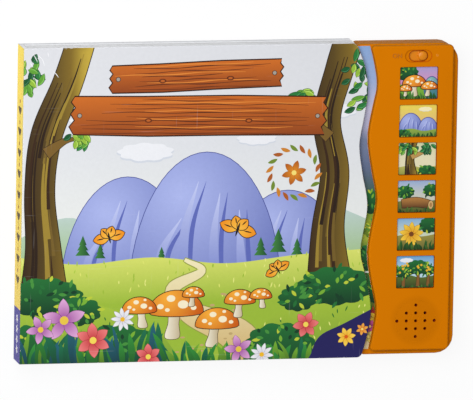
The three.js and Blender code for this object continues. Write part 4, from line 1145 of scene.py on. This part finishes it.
def buttonPicture(index, x, y, w, h):
    # six small scenes round the middle of the button, each in the tones of its place in the row
    rng = np.random.default_rng(60 + index)
    skyTop, skyLow, share, tones, (count, tall, greens, width) = buttonSettings["scenes"][index]

    def near(*rows):
        return [(x + dx, y + dy, *rest) for dx, dy, *rest in rows]

    sky = [(boxOf((x - w, y - h), (x + w, y + h)), stops((y + h, skyTop), (y, skyLow)))]
    top = near((-w, h * share), (-w * 0.3, h * (share + 0.1)), (w * 0.3, h * (share - 0.04)),
               (w, h * (share + 0.08)))
    ground = [(ridge(top, y - h * 1.6), stops((y + h * (share + 0.1), tones[0]), (y - h, tones[1])))]
    if index == 0:
        layers = sky + ground + many(bush, near((-8, 7, 7, 5, 16, 3)), rng)
        layers += many(dome, near((9, 4, 10, 8, (150, 196, 190), (70, 130, 140))))
        layers += many(mushroom, near((-3, -9, 13), (6, -9, 9, 1), (-9, -9, 7)))
    elif index == 1:
        layers = sky + many(cloud, near((5, 8, 4, (250, 240, 190))))
        layers += many(dome, near((-5, 5, 17, 14), (7, 2, 14, 11))) + ground
        layers += many(bush, near((-10, -9, 5, 3, 12, 2.4)), rng)
    elif index == 2:
        layers = sky + ground + trunk(rng, near((-4, -12), (-5, 0), (-3, 14)), (8, 5, 6), 6)
        layers += branch(near((-4, 1), (3, 4), (9, 8)), (3, 2.2, 0.8), (190, 150, 84), (98, 68, 30), 0.3)
        layers += many(canopy, near((5, 8, 7, 3, 18, 4.6), (-8, 9, 5, 3, 12, 4.6)), rng)
        layers += many(bush, near((7, -9, 6, 4, 14, 2.8)), rng)
    elif index == 3:
        layers = sky + many(bush, near((-8, 3, 6, 4, 20, 2.8), (10, 4, 5, 4, 14, 2.8)), rng) + ground
        bark = stops((y - 2, (176, 122, 62)), (y - 8, (92, 56, 28)))
        layers += branch(near((-10, -5), (0, -4), (10, -6)), (6, 6.4, 5.6), bark, (54, 32, 16))
        layers += outlined(blob(x + 10, y - 6, 1.7, 2.8, points=24), (214, 176, 116), (84, 52, 26), 0.35)
        layers.append((blob(x + 10, y - 6, 0.9, 1.6, points=18), (176, 130, 76)))
    elif index == 4:
        layers = sky + ground + many(bush, near((9, 6, 6, 5, 16, 3)), rng)
        sunflower = (-3, 0, 8.4, 9, (226, 150, 24), (252, 214, 70), (120, 66, 24), 8, 0.42)
        layers += many(flower, near(sunflower))
    else:
        layers = sky + many(cloud, near((-6, 8, 4))) + ground
        for dx, dy, size in ((-8, -2, 6), (2, 1, 7.4), (9, -1, 5)):
            stem = near((dx, -10), (dx + 0.4, dy))
            layers += branch(stem, (2.2, 1.4), (134, 92, 44), (70, 44, 20), 0.25)
            layers += many(bush, near((dx, dy + 2, size, size * 0.62, 22, 2.6)), rng)
        for _ in range(14):
            fruit = blob(x + rng.uniform(-11, 11), y + rng.uniform(-1, 6), 0.8, 0.8, points=12)
            layers.append((fruit, (240, 186, 50)))
    return layers + grass(rng, np.linspace(x - 12, x + 12, count), y - 12, tall, greens, width)


def roundedBox(x, y, width, height, corner, steps=4):
    # a quarter circle at each corner, going left round
    angle = np.linspace(0, math.pi / 2, steps + 1)
    sides = ((1, 1, 0), (-1, 1, 1), (-1, -1, 2), (1, -1, 3))
    return np.vstack([
        np.column_stack((x + sx * (width - corner) + corner * np.cos(angle + quarter * math.pi / 2),
                         y + sy * (height - corner) + corner * np.sin(angle + quarter * math.pi / 2)))
        for sx, sy, quarter in sides])


def makeButtonPicture(index, settings):
    low, high = (np.array(corner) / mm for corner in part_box(f"button_label_{index + 1}"))
    x, y = (low[0] + high[0]) / 2 - spineX / mm, (low[1] + high[1]) / 2
    width, height = (high - low)[:2] / 2 + settings["rim"]
    border = roundedBox(x, y, width, height, settings["corner"])
    # the scene reaches a millimetre past the border, which cuts it
    paint(f"button_picture_{index + 1}", border, buttonPicture(index, x, y, width + 1, height + 1),
          flatPlace(high[2] + settings["lift"]), f"key_{index + 1}", "label", 3)


for index in range(6):
    makeButtonPicture(index, buttonSettings)
print("stage: shelf and button prints")


def shadeOpeningWalls(mesh, low, high, tone):
    # upright faces inside the box are the walls of its openings: a deeper tone there is painted shade
    # inside the openings
    mesh.materials.append(materials[tone])
    middles, normals = np.empty((2, len(mesh.polygons) * 3))
    mesh.polygons.foreach_get("center", middles)
    mesh.polygons.foreach_get("normal", normals)
    middles, normals = middles.reshape(-1, 3), normals.reshape(-1, 3)
    wall = (abs(normals[:, 2]) < 0.5) & (middles > low).all(1) & (middles < high).all(1)
    mesh.polygons.foreach_set("material_index", wall.astype(int))


def softened(node, body, slot, material, width, limit=40, openings=None):
    # copy of the CAD solid with its corners joined, flat parts dissolved and edges broken by a small bevel
    mesh = nodes[node].data.copy()
    shape = bmesh.new()
    shape.from_mesh(mesh)
    bmesh.ops.remove_doubles(shape, verts=shape.verts, dist=0.004 * mm)
    bmesh.ops.dissolve_limit(shape, angle_limit=math.radians(0.6), verts=shape.verts, edges=shape.edges)
    bmesh.ops.recalc_face_normals(shape, faces=shape.faces)
    shape.to_mesh(mesh)
    shape.free()
    mesh.materials.clear()
    mesh.materials.append(materials[material])
    mesh.polygons.foreach_set("use_smooth", np.ones(len(mesh.polygons), bool))
    if openings:
        shadeOpeningWalls(mesh, *openings)
    mesh.set_sharp_from_angle(angle=math.radians(limit))
    mesh.name = f"{node}_soft"
    piece = bpy.data.objects.new(f"{node}_soft", mesh)
    bpy.context.scene.collection.objects.link(piece)
    bevel = piece.modifiers.new("edge", "BEVEL")
    bevel.width, bevel.segments = width * mm, 2
    bevel.limit_method, bevel.angle_limit = "ANGLE", math.radians(limit)
    bevel.use_clamp_overlap = True
    bevel.harden_normals = False
    piece.modifiers.new("weigh", "WEIGHTED_NORMAL").keep_sharp = True
    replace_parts(piece, node)
    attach(piece, body)


moduleSettings = {
    "shellEdge": 0.12, "doorEdge": 0.15, "knobEdge": 0.1, "capEdge": 0.18, "screwEdge": 0.1,
    "fineLimit": 50,  # degrees, past which an edge of a small round part is broken
    "face": 2.3, "aside": 3.0, "below": 2.0, "above": 1.0, "head": 103.5,  # the box of the openings
    "speakerPaintedShade": 0.09, "speakerReach": 16.8,
    "sideShadeTone": (156, 100, 6), "sideShadeShare": 0.8,
}


def openingsBox(settings):
    # round the windows, the switch and the speaker, from a little under the face to just over it
    top, (labelLow, labelHigh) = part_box("front_shell")[1][2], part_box("button_label_1")
    aside, tail = settings["aside"] * mm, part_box("speaker_cone")[0][1]
    return (
        np.array((labelLow[0] - aside, tail - settings["below"] * mm, top - settings["face"] * mm)),
        np.array((labelHigh[0] + aside, settings["head"] * mm, top + settings["above"] * mm)),
    )


def makeModule(settings):
    def shell(node, width, **more):
        softened(node, "book", "module_plastic", "orange", width, **more)

    shell("front_shell", settings["shellEdge"], openings=(*openingsBox(settings), "recess"))
    shell("rear_shell", settings["shellEdge"])
    shell("battery_door", settings["doorEdge"])
    fine = settings["fineLimit"]
    softened("switch_knob", "switch", "knob_plastic", "knob", settings["knobEdge"], fine)
    for index in range(6):
        softened(f"button_{index + 1}", f"key_{index + 1}", "button_plastic", "cap", settings["capEdge"])
    for name in [f"case_screw_{index + 1}" for index in range(4)] + ["battery_door_screw"]:
        softened(name, "book", "screw_steel", "screw", settings["screwEdge"], fine)
    # painted shade: the orange plastic is a little darker over the speaker and on its upright walls
    middle = (np.array(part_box("speaker_cone")[0]) + np.array(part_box("speaker_cone")[1])) / 2
    fields = materials["orange"].node_tree.nodes["Group"].inputs
    fields["Shade"].default_value = settings["speakerPaintedShade"]
    fields["Shade Place"].default_value = (middle[0], middle[1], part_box("front_shell")[1][2])
    fields["Shade Reach"].default_value = settings["speakerReach"] * mm
    fields["Side Shade Color"].default_value = srgb(*settings["sideShadeTone"])
    fields["Side"].default_value = settings["sideShadeShare"]


makeModule(moduleSettings)
print("stage: moulded parts")

switchSettings = {
    "recess": (18.7, 8.5), "recessDepth": 0.8, "slot": (12.8, 7.0),
    # sections as steps out from the opening's side and up from the recess floor
    "recessRim": ((0.02, -0.05), (0.02, 0.36), (-0.06, 0.24), (-0.14, 0.12), (-0.24, 0.04), (-0.34, 0.01),
                  (-0.34, -0.05)),
    "slotRim": ((0.32, -0.05), (0.32, 0.02), (0.24, 0.1), (0.12, 0.12), (0.0, 0.04), (0.0, -0.12)),
}


def faceLevel(above=21.4):
    # the height that most of the front shell's upper corners share
    levels = np.round(nodePoints("front_shell")[:, 2], 2)
    levels, counts = np.unique(levels[levels > above], return_counts=True)
    return levels[np.argmax(counts)]


def stadiumLine(x, y, straight, radius, steps=14):
    # two half circles joined by straight sides, going left round
    angle = np.linspace(-math.pi / 2, math.pi / 2, steps + 1)
    reach, rise = straight / 2 + radius * np.cos(angle), radius * np.sin(angle)
    return np.vstack((np.column_stack((x + reach, y + rise)), np.column_stack((x - reach, y - rise))))


def makeSwitchRims(settings):
    # a small closed ring in each corner, in a darker tone as painted shade: its section is carried round
    # the opening
    floor = faceLevel() - settings["recessDepth"]
    knob = nodePoints("switch_knob")
    knob = knob[knob[:, 2] > floor]
    x, y, _ = (knob.min(0) + knob.max(0)) / 2
    x -= (settings["slot"][0] - settings["slot"][1]) / 2  # the knob waits at one end of its slot
    for opening, material in (("recess", "rim"), ("slot", "recess")):
        length, width = settings[opening]
        rings = [(stadiumLine(x, y, length - width, width / 2 + out), floor + rise)
                 for out, rise in settings[f"{opening}Rim"]]
        quads = ringQuads(len(rings[0][0]), len(rings), True)
        newPiece(f"{opening}_rim", placed(ringPoints(rings)), quads, "book", material)


makeSwitchRims(switchSettings)

markSettings = {
    "text": "ON", "size": 4.278, "place": (255.7, 98.35), "depth": 0.25, "edge": 0.03,
    "gate": (283.2, 98.5), "gateRadius": 0.95,
    "gateRings": ((1.0, -0.2), (1.0, 0.05), (0.93, 0.1), (0.8, 0.1), (0.72, 0.03), (0.3, 0.03), (0.2, 0.12),
                  (0.06, 0.14)),
}


def makeMarks(settings):
    # raised lettering beside the switch and the ring left by the mould's gate
    top = faceLevel()
    curve = bpy.data.curves.new("switch_word", "FONT")
    curve.body = settings["text"]
    curve.size = settings["size"] * mm
    curve.extrude = settings["depth"] * mm
    curve.bevel_depth = settings["edge"] * mm
    curve.align_x, curve.align_y = "CENTER", "CENTER"
    holder = bpy.data.objects.new("switch_word_curve", curve)
    bpy.context.scene.collection.objects.link(holder)
    bpy.context.view_layer.update()
    mesh = bpy.data.meshes.new_from_object(holder.evaluated_get(bpy.context.evaluated_depsgraph_get()))
    bpy.data.objects.remove(holder)
    mesh.transform(Matrix.Translation(placed([settings["place"]], top)[0]))
    # painted shade: the lettering takes the darker cap tone, standing in for the shade on its raised sides
    mesh.materials.clear()
    mesh.materials.append(materials["cap"])
    word = bpy.data.objects.new("switch_word", mesh)
    bpy.context.scene.collection.objects.link(word)
    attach(word, "book")
    radius = settings["gateRadius"]
    rings = [(blob(*settings["gate"], radius * share, radius * share, points=32), top + rise)
             for share, rise in settings["gateRings"]]
    loft("gate_mark", rings, "book", "knob", 50)


makeMarks(markSettings)


def dress(finishes):
    # carried-over nodes take the finish of the first name that they start with, in their own slots
    for name, node in nodes.items():
        material = next((material for start, material in finishes if name.startswith(start)), None)
        if material:
            for slot in node.material_slots:
                slot.material = materials[material]


dress([
    ("back_cover", "backEdge"), ("spine", "boardEdge"), ("front_cover", "boardEdge"),
    ("page_block", "pageEdge"), ("shelf_label", "paper"), ("button_label", "paper"), ("button_", "cap"),
    ("front_shell", "orange"), ("rear_shell", "orange"), ("battery_door_screw", "screw"),
    ("battery_door", "orange"), ("switch_knob", "knob"), ("circuit_board", "laminate"),
    ("chip_blob", "resin"), ("keypad_mat", "rubber"), ("switch_body", "contact"), ("pcb_screw", "screw"),
    ("case_screw", "screw"), ("battery_contact", "contact"), ("battery_bridge", "contact"),
    ("battery_cell", "cell"), ("speaker_frame", "speakerSteel"), ("speaker_magnet", "ferrite"),
    ("speaker_cone", "cone"), ("speaker_gasket", "gasket"), ("speaker_wire_red", "wireRed"),
    ("speaker_wire_black", "wireBlack"), ("battery_wire_red", "wireRed"),
    ("battery_wire_black", "wireBlack"),
])
print("stage: carried-over parts")

floorSettings = {"size": 6.0, "drop": 0.2, "tones": ((248, 248, 249), (250, 250, 250)), "grain": 30,
                 "glow": 0.9, "strength": 1.0, "roughness": 0.9, "gloss": 0.1}


def makeFloor(settings):
    # pale table; what the camera sees of it is lifted towards white, and the soft shadow stays
    half, level = settings["size"] / 2, -settings["drop"] * mm
    mesh = bpy.data.meshes.new("floor")
    corners = boxOf((-half, -half), (half, half))
    mesh.from_pydata(np.column_stack((corners, np.full(4, level))).tolist(), [], [(0, 1, 2, 3)])
    material = bpy.data.materials.new("floor_paper")
    material.use_nodes = True
    tree = material.node_tree
    surface, output = tree.nodes["Principled BSDF"], tree.nodes["Material Output"]
    place = addNode(tree, "ShaderNodeTexCoord").outputs["Object"]
    mottle = remap(tree, noise(tree, place, settings["grain"]), 0.3, 0.7)
    shade = mixColor(tree, mottle, *(srgb(*tone) for tone in settings["tones"]))
    tree.links.new(shade, surface.inputs["Base Color"])
    surface.inputs["Roughness"].default_value = settings["roughness"]
    surface.inputs["Specular IOR Level"].default_value = settings["gloss"]
    path = addNode(tree, "ShaderNodeLightPath").outputs
    seen = calc(tree, "MAXIMUM", path["Is Camera Ray"], path["Is Glossy Ray"])
    seen = calc(tree, "MAXIMUM", seen, path["Is Transmission Ray"])
    share = calc(tree, "MULTIPLY", seen, settings["glow"])
    glare = addNode(tree, "ShaderNodeEmission", {"Color": white, "Strength": settings["strength"]})
    both = addNode(tree, "ShaderNodeMixShader", {0: share, 1: surface.outputs[0], 2: glare.outputs[0]})
    tree.links.new(both.outputs[0], output.inputs["Surface"])
    mesh.materials.append(material)
    floor = bpy.data.objects.new("floor", mesh)
    bpy.context.scene.collection.objects.link(floor)


makeFloor(floorSettings)
makeView(viewSettings)
print("stage: floor and view")
